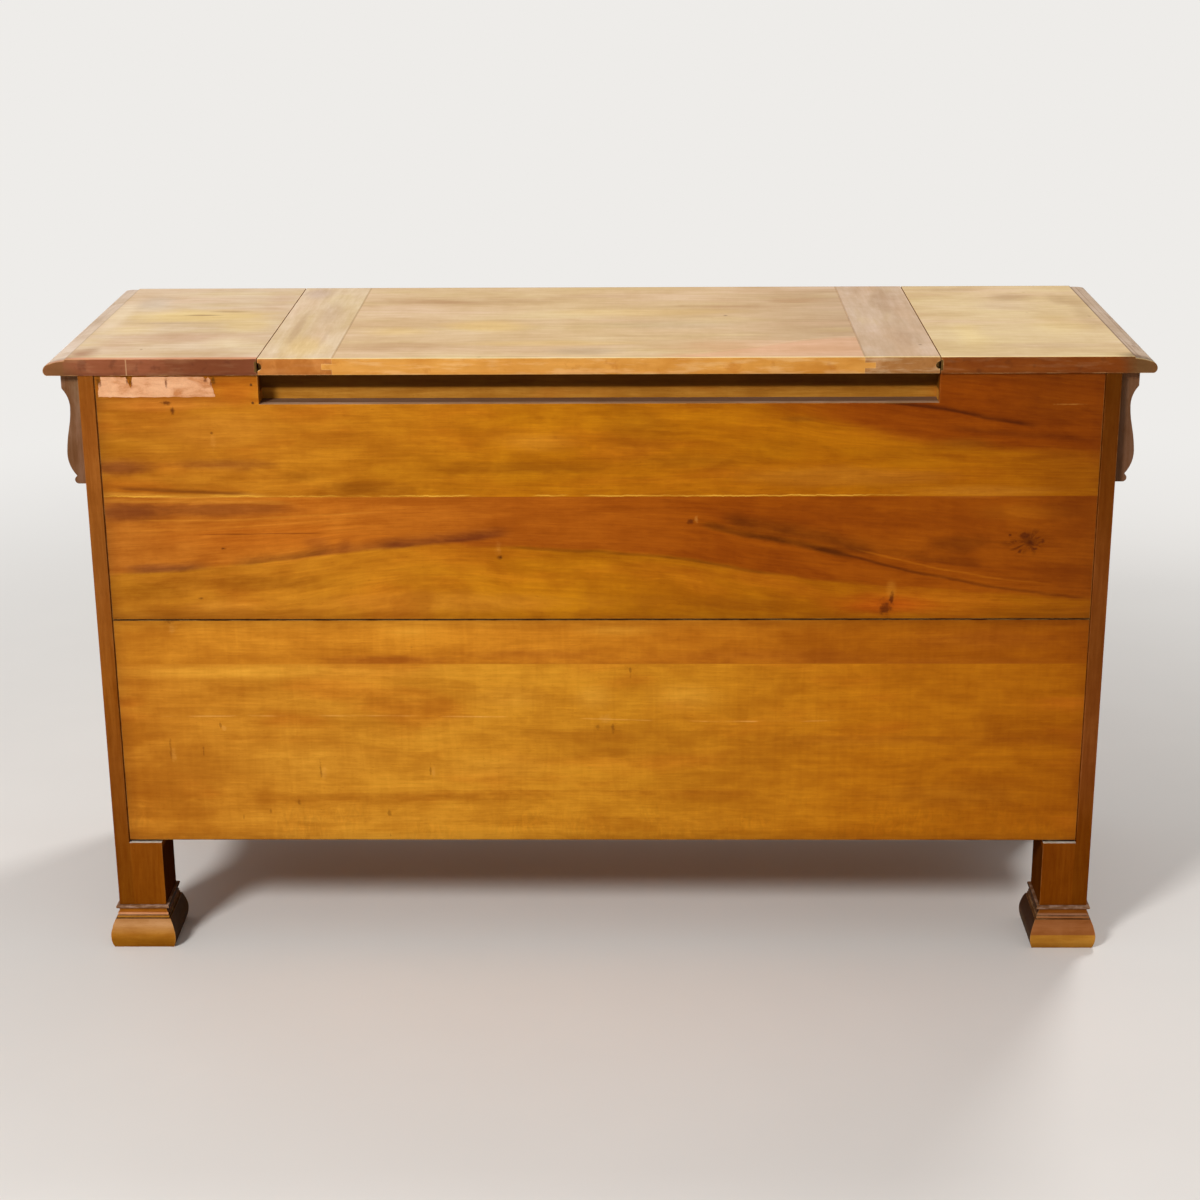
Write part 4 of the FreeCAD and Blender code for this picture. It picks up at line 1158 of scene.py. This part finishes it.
def topOverlay(kit, colour, look):
    tree = kit["tree"]
    flat = vector(tree, X=kit["right"], Z=kit["y"])
    colour = addSpots(kit, colour, flat, look["spots"])
    quirkX, quirkY = topLook["quirkAt"]
    pastSide = calc(tree, "SUBTRACT", kit["outward"], quirkX)
    pastFront = calc(tree, "SUBTRACT", quirkY, kit["y"])
    past = calc(tree, "MAXIMUM", pastSide, pastFront)
    kit["patches"] = noiseAt(tree, kit["place"], (0.02, 0.07, 0.02), 27.0, 4.0, 0.6)
    slope = topSlope(kit, look, pastSide, pastFront)
    colour = blendColour(tree, softStep(tree, past, *topLook["slopeFrom"]), colour, slope)
    quirk = softStep(tree, past, *topLook["quirkFrom"])
    quirk = product(tree, quirk, softStep(tree, past, *topLook["quirkTo"]))
    colour = layer(kit, colour, quirk, look["quirkShare"], topLook["quirkTone"])
    joint = softStep(tree, distance(tree, kit["outward"], topLook["clampJointAt"]), *topLook["jointWidth"])
    colour = layer(kit, colour, joint, topLook["jointShare"], topLook["jointTone"])
    if "strip" in look:
        colour = letInStrip(kit, colour, look["strip"])
    # along the rear arris a tone of its own, which on the pale boards is partly a painted highlight
    rear = softStep(tree, kit["y"], *look["arrisFrom"])
    colour = layer(kit, colour, rear, look["arrisShare"], look["arrisTone"])
    upright = facingAlong(kit, "Z", *topLook["upright"])
    colour = blendColour(tree, upright, colour, sawnEdge(kit, look))
    nose = product(tree, upright, softStep(tree, past, *topLook["noseFrom"]))
    colour = layer(kit, colour, nose, topLook["noseShare"], topLook["noseTone"])
    if "corner" in look:
        *oval, share = look["corner"]
        colour = layer(kit, colour, spotMask(kit, flat, *oval), share, topLook["cornerTone"])
    return layer(kit, colour, facingAlong(kit, "Z", *topLook["faceDown"]), 1.0, topLook["underTone"])


for name in ("top_slab_right", "top_slab_left", "lid_panel", "lid_clamp_right", "lid_clamp_left"):
    look = dict(topLook["shared"], **topLook[name])
    dress(woodMaterial(name.replace("_", " "), look, topOverlay), name)
    softenEdges(0.0006, name)
print("top and lid done")


# Inner boards, rails and drawers
innerLook = {"tone": (160, 104, 34), "seed": 43.0, "wear": 0.2, "roughness": 0.6}
wellLook = dict(innerLook, tone=(184, 124, 42), seed=42.0)
# painted shadow: the upper part of the well boards is darkened where the lid's overhang shades it
wellPaintedShadow = {"rise": (0.75, 0.7535), "tone": (92, 52, 6), "share": 0.95}


def wellShadowOverlay(kit, colour, look):  # painted shadow under the overhang of the lid
    above = softStep(kit["tree"], kit["z"], *wellPaintedShadow["rise"])
    return layer(kit, colour, above, wellPaintedShadow["share"], wellPaintedShadow["tone"])


ledgeLook = {
    "tone": (118, 88, 66), "depth": 0.1, "seed": 45.0, "wear": 0.3, "wearTone": (176, 156, 138),
    "roughness": 0.75,
    "blush": (140, 104, 74),
}
sideLook = {"grain": "Z", "tone": (156, 90, 30), "seed": 47.0, "bands": (0.7, 0.035)}
railLook = {"tone": (146, 82, 28), "seed": 49.0, "bands": (0.7, 0.016)}
frontLook = {
    "tone": (172, 100, 22), "seed": 51.0, "wear": 0.4, "roughness": 0.4, "specular": 0.2, "depth": 0.22,
    "bands": (0.8, 0.05), "clouds": (0.25, 0.034), "mottle": (0.09, 0.012),
}
liningLook = {
    "tone": (206, 172, 122), "seed": 61.0, "wear": 0.15, "roughness": 0.65, "depth": 0.07,
    "blush": (196, 158, 108),
}

dress(woodMaterial("inner boards", innerLook), "well_bottom", "bottom_board")
dress(woodMaterial("well boards", wellLook, wellShadowOverlay), "inner_back_rail", "recess_cheeks")
dress(woodMaterial("recess ledge", ledgeLook), "recess_ledge")
dress(woodMaterial("side panels", sideLook), "side_panel_left", "side_panel_right")
dress(woodMaterial("partitions", dict(railLook, grain="Y")), "well_partition_left", "well_partition_right")
dress(woodMaterial("runners", dict(innerLook, grain="Y", seed=44.0)), "drawer_runners")
rails = ("bottom_rail", "middle_rail", "frieze_rail", "top_rail")
dress(woodMaterial("rails", railLook), *rails)
dress(woodMaterial("frieze panel", frontLook), "frieze_panel")
softenEdges(0.0005, "inner_back_rail", "recess_ledge", "frieze_panel", *rails)
softenEdges(0.0005, "side_panel_left", "side_panel_right")

knobWood = dict(
    railLook, tone=(118, 60, 20), wear=0.25, roughness=0.34, specular=0.25, seed=81.0, depth=0.26,
    bands=(0.05, 0.006), clouds=(0.02, 0.008), mottle=(0.012, 0.005), lines=(0.02, 0.002),
    fineLines=(0.01, 0.0012),
)
drawerNames = ("lower_drawer", "upper_drawer", "left_frieze_drawer", "right_frieze_drawer")
for number, drawer in enumerate(drawerNames):
    dress(woodMaterial(drawer + " front", dict(frontLook, seed=53.0 + 2 * number)), drawer + "_front")
    sides = [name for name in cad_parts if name.startswith(drawer + "_side")]
    dress(woodMaterial(drawer + " sides", dict(liningLook, grain="Y", seed=63.0 + number)), *sides)
    lining = woodMaterial(drawer + " lining", dict(liningLook, seed=71.0 + number))
    dress(lining, drawer + "_bottom", drawer + "_back")
    softenEdges(0.0006, drawer + "_front")
print("inner boards and drawers done")


# Brass pivots and the mirror
def tonesOf(kit, patches, stops):  # a tone for each height of the noise
    return ramp(kit["tree"], patches, [(place, paint(*tone)) for place, tone in stops])


brassLook = {
    "cell": 0.008,
    "tones": ((0.35, (104, 78, 38)), (0.65, (196, 158, 84))),
    "patinaTone": (88, 60, 30),
    "patinaShare": 0.85,
    "polish": (0.3, 0.7, 0.55, 0.3),
    "grain": 0.0002,  # how deep the unevenness of the surface is
}


def brassMaterial():
    material, tree, kit = startMaterial("aged brass")
    patches = noiseAt(tree, kit["place"], [brassLook["cell"]] * 3, 91.0, 5.0, 0.6)
    colour = tonesOf(kit, patches, brassLook["tones"])
    dull = facingAlong(kit, "Y", *faceBack)  # the ends that show at the back are dark with age
    colour = layer(kit, colour, dull, brassLook["patinaShare"], brassLook["patinaTone"])
    roughness = softStep(tree, patches, *brassLook["polish"])
    return finishMaterial(material, colour, {"Metallic": 1.0}, roughness, patches, brassLook["grain"])


mirrorLook = {
    "bevelWidth": 0.014,
    "bevelDepth": 0.0016,
    "silver": ((0.3, (226, 230, 228)), (0.6, (234, 238, 236))),
    "polish": (0.35, 0.75, 0.015, 0.03),
    "foxing": (122, 104, 82),
    "foxingReach": 0.022,
    "foxingShare": 0.75,
    "foxingPatches": (0.48, 0.62),
    "foxingRoughness": 0.3,
}


def mirrorMaterial():
    material, tree, kit = startMaterial("mirror glass")
    haze = noiseAt(tree, kit["place"], (0.05, 0.05, 0.05), 93.0, 4.0, 0.6)
    colour = tonesOf(kit, haze, mirrorLook["silver"])
    low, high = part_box("mirror_glass")
    fromSide = calc(tree, "SUBTRACT", high.x, kit["outward"])
    fromFront = calc(tree, "SUBTRACT", kit["y"], low.y)
    fromEnds = calc(tree, "MINIMUM", fromFront, calc(tree, "SUBTRACT", high.y, kit["y"]))
    nearRim = softStep(tree, calc(tree, "MINIMUM", fromSide, fromEnds), mirrorLook["foxingReach"], 0.0)
    specks = noiseAt(tree, kit["place"], (0.012, 0.012, 0.012), 94.0, 5.0, 0.7)
    # where the silvering has gone at the rim
    foxed = product(tree, nearRim, softStep(tree, specks, *mirrorLook["foxingPatches"]))
    colour = layer(kit, colour, foxed, mirrorLook["foxingShare"], mirrorLook["foxing"])
    dull = product(tree, foxed, mirrorLook["foxingRoughness"])
    roughness = calc(tree, "ADD", softStep(tree, haze, *mirrorLook["polish"]), dull)
    return finishMaterial(material, colour, {"Metallic": 1.0}, roughness)


brass = brassMaterial()
dress(brass, "hinge_pins", "hinge_eyes")
dress(woodMaterial("mirror frame", dict(railLook, seed=87.0)), "mirror_frame")
print("brass done")


# Detail pieces, each riding on the body it is fixed to
def addObject(name, data):
    made = bpy.data.objects.new(name, data)
    bpy.context.scene.collection.objects.link(made)
    return made


def addPiece(name, mesh, material, body, smooth=True):
    for polygon in mesh.polygons:
        polygon.use_smooth = smooth
    mesh.materials.append(material)
    piece = addObject(name, mesh)
    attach(piece, body)
    return piece


def meshFrom(name, shape):
    mesh = bpy.data.meshes.new(name)
    bmesh.ops.recalc_face_normals(shape, faces=shape.faces)
    shape.to_mesh(mesh)
    shape.free()
    return mesh


def turned(shape, outline, place, turnMatrix, segments):  # a turned solid from (radius, height) stops
    rings = []
    for radius, height in outline:
        ring = []
        for step in range(segments if radius > 0 else 1):
            angle = 2 * math.pi * step / segments
            corner = Vector((radius * math.cos(angle), radius * math.sin(angle), height))
            ring.append(shape.verts.new(Vector(place) + turnMatrix @ corner))
        rings.append(ring)
    for low, high in zip(rings, rings[1:]):
        for step in range(segments):
            after = (step + 1) % segments
            corners = [low[step % len(low)], low[after % len(low)]]
            corners += [high[after % len(high)], high[step % len(high)]]
            shape.faces.new(list(dict.fromkeys(corners)))


knobLook = {
    "reach": 0.027,
    "radius": 0.017,
    "baseY": -0.202,
    "segments": 48,
    # share of the radius and share of the reach, from the drawer front outwards
    "outline": (
        (0.0, 0.0), (0.56, 0.0), (0.6, 0.03), (0.6, 0.075), (0.53, 0.11), (0.45, 0.18), (0.43, 0.27),
        (0.48, 0.37), (0.62, 0.46), (0.84, 0.54), (0.96, 0.61), (1.0, 0.68), (0.98, 0.76), (0.9, 0.85),
        (0.74, 0.93), (0.5, 0.98), (0.24, 0.998), (0.0, 1.0),
    ),
}


def knobCentres(drawer):
    low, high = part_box(drawer + "_knobs")
    height = (low.z + high.z) / 2
    if high.x - low.x < 4 * knobLook["radius"]:
        return [((low.x + high.x) / 2, height)]
    return [(low.x + knobLook["radius"], height), (high.x - knobLook["radius"], height)]


def makeKnobs():
    outline = [(r * knobLook["radius"], h * knobLook["reach"]) for r, h in knobLook["outline"]]
    forward = Matrix.Rotation(math.radians(90), 3, "X")  # the outline's height runs along -Y
    material = woodMaterial("knobs", knobWood)
    for drawer in drawerNames:
        shape = bmesh.new()
        for x, height in knobCentres(drawer):
            turned(shape, outline, (x, knobLook["baseY"], height), forward, knobLook["segments"])
        name = drawer + "_turned_knobs"
        piece = addPiece(name, meshFrom(name, shape), material, drawer)
        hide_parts(drawer + "_knobs")


def makeMirrorGlass():
    low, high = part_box("mirror_glass")
    shape = bmesh.new()
    # inset and height of each ring, from the hidden upper face over the bevel to the looking face
    levels = ((0.0, high.z), (0.0, low.z + mirrorLook["bevelDepth"]), (mirrorLook["bevelWidth"], low.z))
    rings = []
    for inset, height in levels:
        x0, x1, y0, y1 = low.x + inset, high.x - inset, low.y + inset, high.y - inset
        rings.append([shape.verts.new((x, y, height)) for x, y in ((x0, y0), (x1, y0), (x1, y1), (x0, y1))])
    shape.faces.new(rings[0])
    shape.faces.new(rings[-1])
    for upper, lower in zip(rings, rings[1:]):
        for side in range(4):
            after = (side + 1) % 4
            shape.faces.new((upper[side], upper[after], lower[after], lower[side]))
    glass = meshFrom("bevelled mirror", shape)
    piece = addPiece("bevelled_mirror", glass, mirrorMaterial(), "lid", smooth=False)
    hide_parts("mirror_glass")


paperLook = {
    "thickness": 0.00025,
    # right and height of the torn outline, clockwise from the lower left corner
    "outline": (
        (-0.6165, 0.748), (-0.616, 0.756), (-0.615, 0.764), (-0.612, 0.769), (-0.6125, 0.7735),
        (-0.59, 0.7733), (-0.581, 0.773), (-0.5795, 0.769), (-0.577, 0.762), (-0.5755, 0.759),
        (-0.5745, 0.766), (-0.5725, 0.7732), (-0.55, 0.7735), (-0.52, 0.7733), (-0.486, 0.773),
        (-0.4825, 0.7695), (-0.4795, 0.7728), (-0.4765, 0.769), (-0.4752, 0.76), (-0.472, 0.7482),
        (-0.5, 0.7478), (-0.535, 0.7481), (-0.57, 0.7476), (-0.595, 0.748),
    ),
    "marks": (
        (-0.5316, 0.7655, 0.002, 0.0075), (-0.613, 0.766, 0.0022, 0.006), (-0.579, 0.768, 0.0022, 0.005),
        (-0.5745, 0.764, 0.0016, 0.005), (-0.483, 0.769, 0.003, 0.0035), (-0.4765, 0.765, 0.0014, 0.005),
    ),
    "tones": ((0.34, (188, 122, 74)), (0.5, (214, 157, 114)), (0.66, (224, 170, 128))),
    "fibres": (0.3, 0.7, 0.95, 1.04),
    "fibreCell": 0.0012,
    "markTone": (104, 50, 20),
    "markShare": (0.85, 0.6),
    "roughness": 0.85,
    "specular": 0.1,
    "grain": 0.0002,  # how deep the fibres are
    "tears": 0.0005,  # how far the torn outline strays between its corners
    "steps": 6,
}


def paperMaterial():
    material, tree, kit = startMaterial("old paper")
    stains = noiseAt(tree, kit["place"], (0.03, 0.03, 0.012), 97.0, 5.0, 0.62, 0.4)
    colour = tonesOf(kit, stains, paperLook["tones"])
    fibres = noiseAt(tree, kit["place"], [paperLook["fibreCell"]] * 3, 98.0, 2.0, 0.5)
    colour = brighten(tree, colour, softStep(tree, fibres, *paperLook["fibres"]))
    kit["grit"] = fibres
    marks, tone = paperLook["marks"], paperLook["markTone"]
    colour = addMarks(kit, colour, panelFlat(kit), marks, tone, *paperLook["markShare"])
    settings = {"Specular IOR Level": paperLook["specular"]}
    return finishMaterial(material, colour, settings, paperLook["roughness"], fibres, paperLook["grain"])


def makePaper():
    tears = random.Random(11)
    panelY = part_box("back_panel_upper")[1].y
    corners = []
    outline = paperLook["outline"]
    for start, end in zip(outline, outline[1:] + outline[:1]):
        for step in range(paperLook["steps"]):
            share = step / paperLook["steps"]
            spread = paperLook["tears"] if step else 0.0
            right = start[0] + (end[0] - start[0]) * share + tears.uniform(-spread, spread)
            height = start[1] + (end[1] - start[1]) * share + tears.uniform(-spread, spread)
            corners.append((-right, height))
    shape = bmesh.new()
    face = shape.faces.new([shape.verts.new((x, panelY, height)) for x, height in corners])
    grown = bmesh.ops.extrude_face_region(shape, geom=[face])
    raised = [item for item in grown["geom"] if isinstance(item, bmesh.types.BMVert)]
    bmesh.ops.translate(shape, verts=raised, vec=(0.0, paperLook["thickness"], 0.0))
    addPiece("torn_paper", meshFrom("torn paper", shape), paperMaterial(), "case", smooth=False)


nailLook = {
    "tones": ((0.35, (82, 44, 12)), (0.65, (132, 78, 28))),
    "cell": 0.0012,
    "roughness": 0.7,
    "specular": 0.05,
    "grain": 0.0002,
    "places": ((-0.427, 0.763), (-0.426, 0.74)),
    "outline": ((0.0017, -0.0001), (0.0017, 0.0002), (0.0013, 0.0004), (0.0007, 0.0005), (0.0, 0.00055)),
    "segments": 20,
}


def ironMaterial():
    material, tree, kit = startMaterial("rusty iron")
    rust = noiseAt(tree, kit["place"], [nailLook["cell"]] * 3, 99.0, 3.0, 0.6)
    colour = tonesOf(kit, rust, nailLook["tones"])
    settings = {"Specular IOR Level": nailLook["specular"]}
    return finishMaterial(material, colour, settings, nailLook["roughness"], rust, nailLook["grain"])


def makeNails():
    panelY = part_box("back_panel_upper")[1].y
    backward = Matrix.Rotation(math.radians(-90), 3, "X")
    shape = bmesh.new()
    for right, height in nailLook["places"]:
        turned(shape, nailLook["outline"], (-right, panelY, height), backward, nailLook["segments"])
    addPiece("panel_nails", meshFrom("panel nails", shape), ironMaterial(), "case")


screwLook = {
    "radius": 0.003,
    "slotWidth": 0.0007,
    "floorRise": 0.00002,
    "headRise": 0.00012,
    "segments": 14,
    "pinPlate": (0.185, 0.201),  # places along Y, all at the pivot's height
    "eyePlate": (0.19, 0.203),
}


def circle(shape, x, middle, angles):
    radius = screwLook["radius"]
    y, z = middle
    return [shape.verts.new((x, y + radius * math.cos(turn), z + radius * math.sin(turn))) for turn in angles]


def addScrew(shape, x, outward, *middle):  # a flush slotted head: a low disk with two raised halves
    floorX = x + outward * screwLook["floorRise"]
    headX = x + outward * screwLook["headRise"]
    segments = screwLook["segments"]
    turns = [math.pi * step / segments for step in range(segments * 2)]
    shape.faces.new(circle(shape, floorX, middle, turns))
    lean = math.asin(screwLook["slotWidth"] / 2 / screwLook["radius"])
    for half in (0.0, math.pi):
        turns = [half + lean + (math.pi - 2 * lean) * step / segments for step in range(segments + 1)]
        top = circle(shape, headX, middle, turns)
        base = circle(shape, floorX, middle, turns)
        shape.faces.new(top)
        for step in range(len(turns)):
            after = (step + 1) % len(turns)
            shape.faces.new((base[step], base[after], top[after], top[step]))


def makeScrews():
    pinLow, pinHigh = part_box("hinge_pins")
    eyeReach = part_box("hinge_eyes")[1].x
    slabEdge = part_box("top_slab_right")[0].x
    height = (pinLow.z + pinHigh.z) / 2
    plates = (
        ("pin_plate_screws", "case", slabEdge, -1.0, screwLook["pinPlate"]),
        ("eye_plate_screws", "lid", eyeReach, 1.0, screwLook["eyePlate"]),
    )
    for name, body, reach, outward, places in plates:
        shape = bmesh.new()
        for side in (-1.0, 1.0):
            for y in places:
                addScrew(shape, side * reach, side * outward, y, height)
        addPiece(name, meshFrom(name.replace("_", " "), shape), brass, body, smooth=False)


makeKnobs()
makeMirrorGlass()
makePaper()
makeNails()
makeScrews()
print("knobs, mirror, paper, nails and screws done")


# Floor, backdrop and light
stageSettings = {
    "floorReach": 40.0,
    "floorTone": (226, 222, 217),
    "backdropTone": (238, 236, 233),
    "ambient": (0.15, 0.46),  # strength of the light from the horizon and from straight above
    "blend": (0.9, 2.8),  # metres from the chest's middle, over which the floor turns into the backdrop
    "specks": (0.3, 0.7, 0.985, 1.015),
    "aimHeight": 0.45,  # where the lamps point
}


def seenRays(tree):  # rays to which the backdrop shows its own colour
    rays = addNode(tree, "ShaderNodeLightPath")
    seen = calc(tree, "MAXIMUM", rays.outputs["Is Camera Ray"], rays.outputs["Is Glossy Ray"])
    return calc(tree, "MAXIMUM", seen, rays.outputs["Is Transmission Ray"])


def makeFloor():
    mesh = bpy.data.meshes.new("floor")
    reach = stageSettings["floorReach"]
    corners = [(-reach, -reach, 0.0), (reach, -reach, 0.0), (reach, reach, 0.0), (-reach, reach, 0.0)]
    mesh.from_pydata(corners, [], [(0, 1, 2, 3)])
    floor = addObject("floor", mesh)
    material, tree, kit = startMaterial("pale floor")
    specks = noiseAt(tree, kit["place"], (0.4, 0.4, 0.4), 95.0, 4.0, 0.5)
    tone = paint(*stageSettings["floorTone"])[:3]
    colour = brighten(tree, tone, softStep(tree, specks, *stageSettings["specks"]))
    sockets = {"Base Color": colour, "Roughness": 0.8, "Specular IOR Level": 0.05}
    plain = addNode(tree, "ShaderNodeBsdfPrincipled", sockets)
    backdrop = paint(*stageSettings["backdropTone"])
    glow = addNode(tree, "ShaderNodeEmission", {"Color": backdrop, "Strength": 1.0})
    far = softStep(tree, vectorCalc(tree, "LENGTH", {0: kit["place"]}), *stageSettings["blend"])
    share = calc(tree, "MULTIPLY", far, seenRays(tree))
    mixed = addNode(tree, "ShaderNodeMixShader", {0: share, 1: plain.outputs[0], 2: glow.outputs[0]})
    addNode(tree, "ShaderNodeOutputMaterial", {"Surface": mixed.outputs[0]})
    mesh.materials.append(material)


def makeWorld():
    world = bpy.data.worlds.new("soft room")
    world.use_nodes = True
    tree = world.node_tree
    tree.nodes.clear()
    direction = addNode(tree, "ShaderNodeTexCoord").outputs["Generated"]
    upward = addNode(tree, "ShaderNodeSeparateXYZ", {0: direction}).outputs["Z"]
    strength = softStep(tree, upward, 0.0, 1.0, *stageSettings["ambient"])
    light = addNode(tree, "ShaderNodeBackground", {"Color": (1.0, 1.0, 1.0, 1.0), "Strength": strength})
    backdrop = paint(*stageSettings["backdropTone"])
    behind = addNode(tree, "ShaderNodeBackground", {"Color": backdrop, "Strength": 1.0})
    sockets = {0: seenRays(tree), 1: light.outputs[0], 2: behind.outputs[0]}
    mixed = addNode(tree, "ShaderNodeMixShader", sockets)
    addNode(tree, "ShaderNodeOutputWorld", {"Surface": mixed.outputs[0]})
    bpy.context.scene.world = world


lamps = {
    "window": {"place": (2.2, 3.4, 3.0), "size": 1.0, "watts": 163.0},
    "front fill": {"place": (-1.6, -2.3, 3.7), "size": 1.0, "watts": 72.0},
}


def makeLamp(name, place, size, watts):
    data = bpy.data.lights.new(name, "AREA")
    data.shape = "DISK"
    data.size = size
    data.energy = watts
    lamp = addObject(name, data)
    lamp.location = place
    aim = Vector((0.0, 0.0, stageSettings["aimHeight"])) - Vector(place)
    lamp.rotation_euler = aim.to_track_quat("-Z", "Y").to_euler()
    lamp.visible_camera = False


makeFloor()
makeWorld()
for name, lamp in lamps.items():
    makeLamp(name, **lamp)

cameraSettings = {
    "place": (-0.0469, 2.9913, 1.4133),
    "turn": 180.9615,
    "tilt": 71.3736,
    "roll": -0.3752,
    "lens": 69.026,
    "sensor": 36.0,
}


def makeCamera():
    data = bpy.data.cameras.new("photo camera")
    data.lens = cameraSettings["lens"]
    data.sensor_width = cameraSettings["sensor"]
    data.sensor_fit = "HORIZONTAL"
    data.dof.use_dof = False
    camera = addObject("photo camera", data)
    turn, tilt, roll = [math.radians(cameraSettings[key]) for key in ("turn", "tilt", "roll")]
    facing = Matrix.Rotation(turn, 4, "Z") @ Matrix.Rotation(tilt, 4, "X") @ Matrix.Rotation(roll, 4, "Z")
    camera.matrix_world = Matrix.Translation(cameraSettings["place"]) @ facing
    bpy.context.scene.camera = camera


makeCamera()
bpy.context.scene.view_settings.view_transform = "Standard"
print("stage, lamps and camera done")
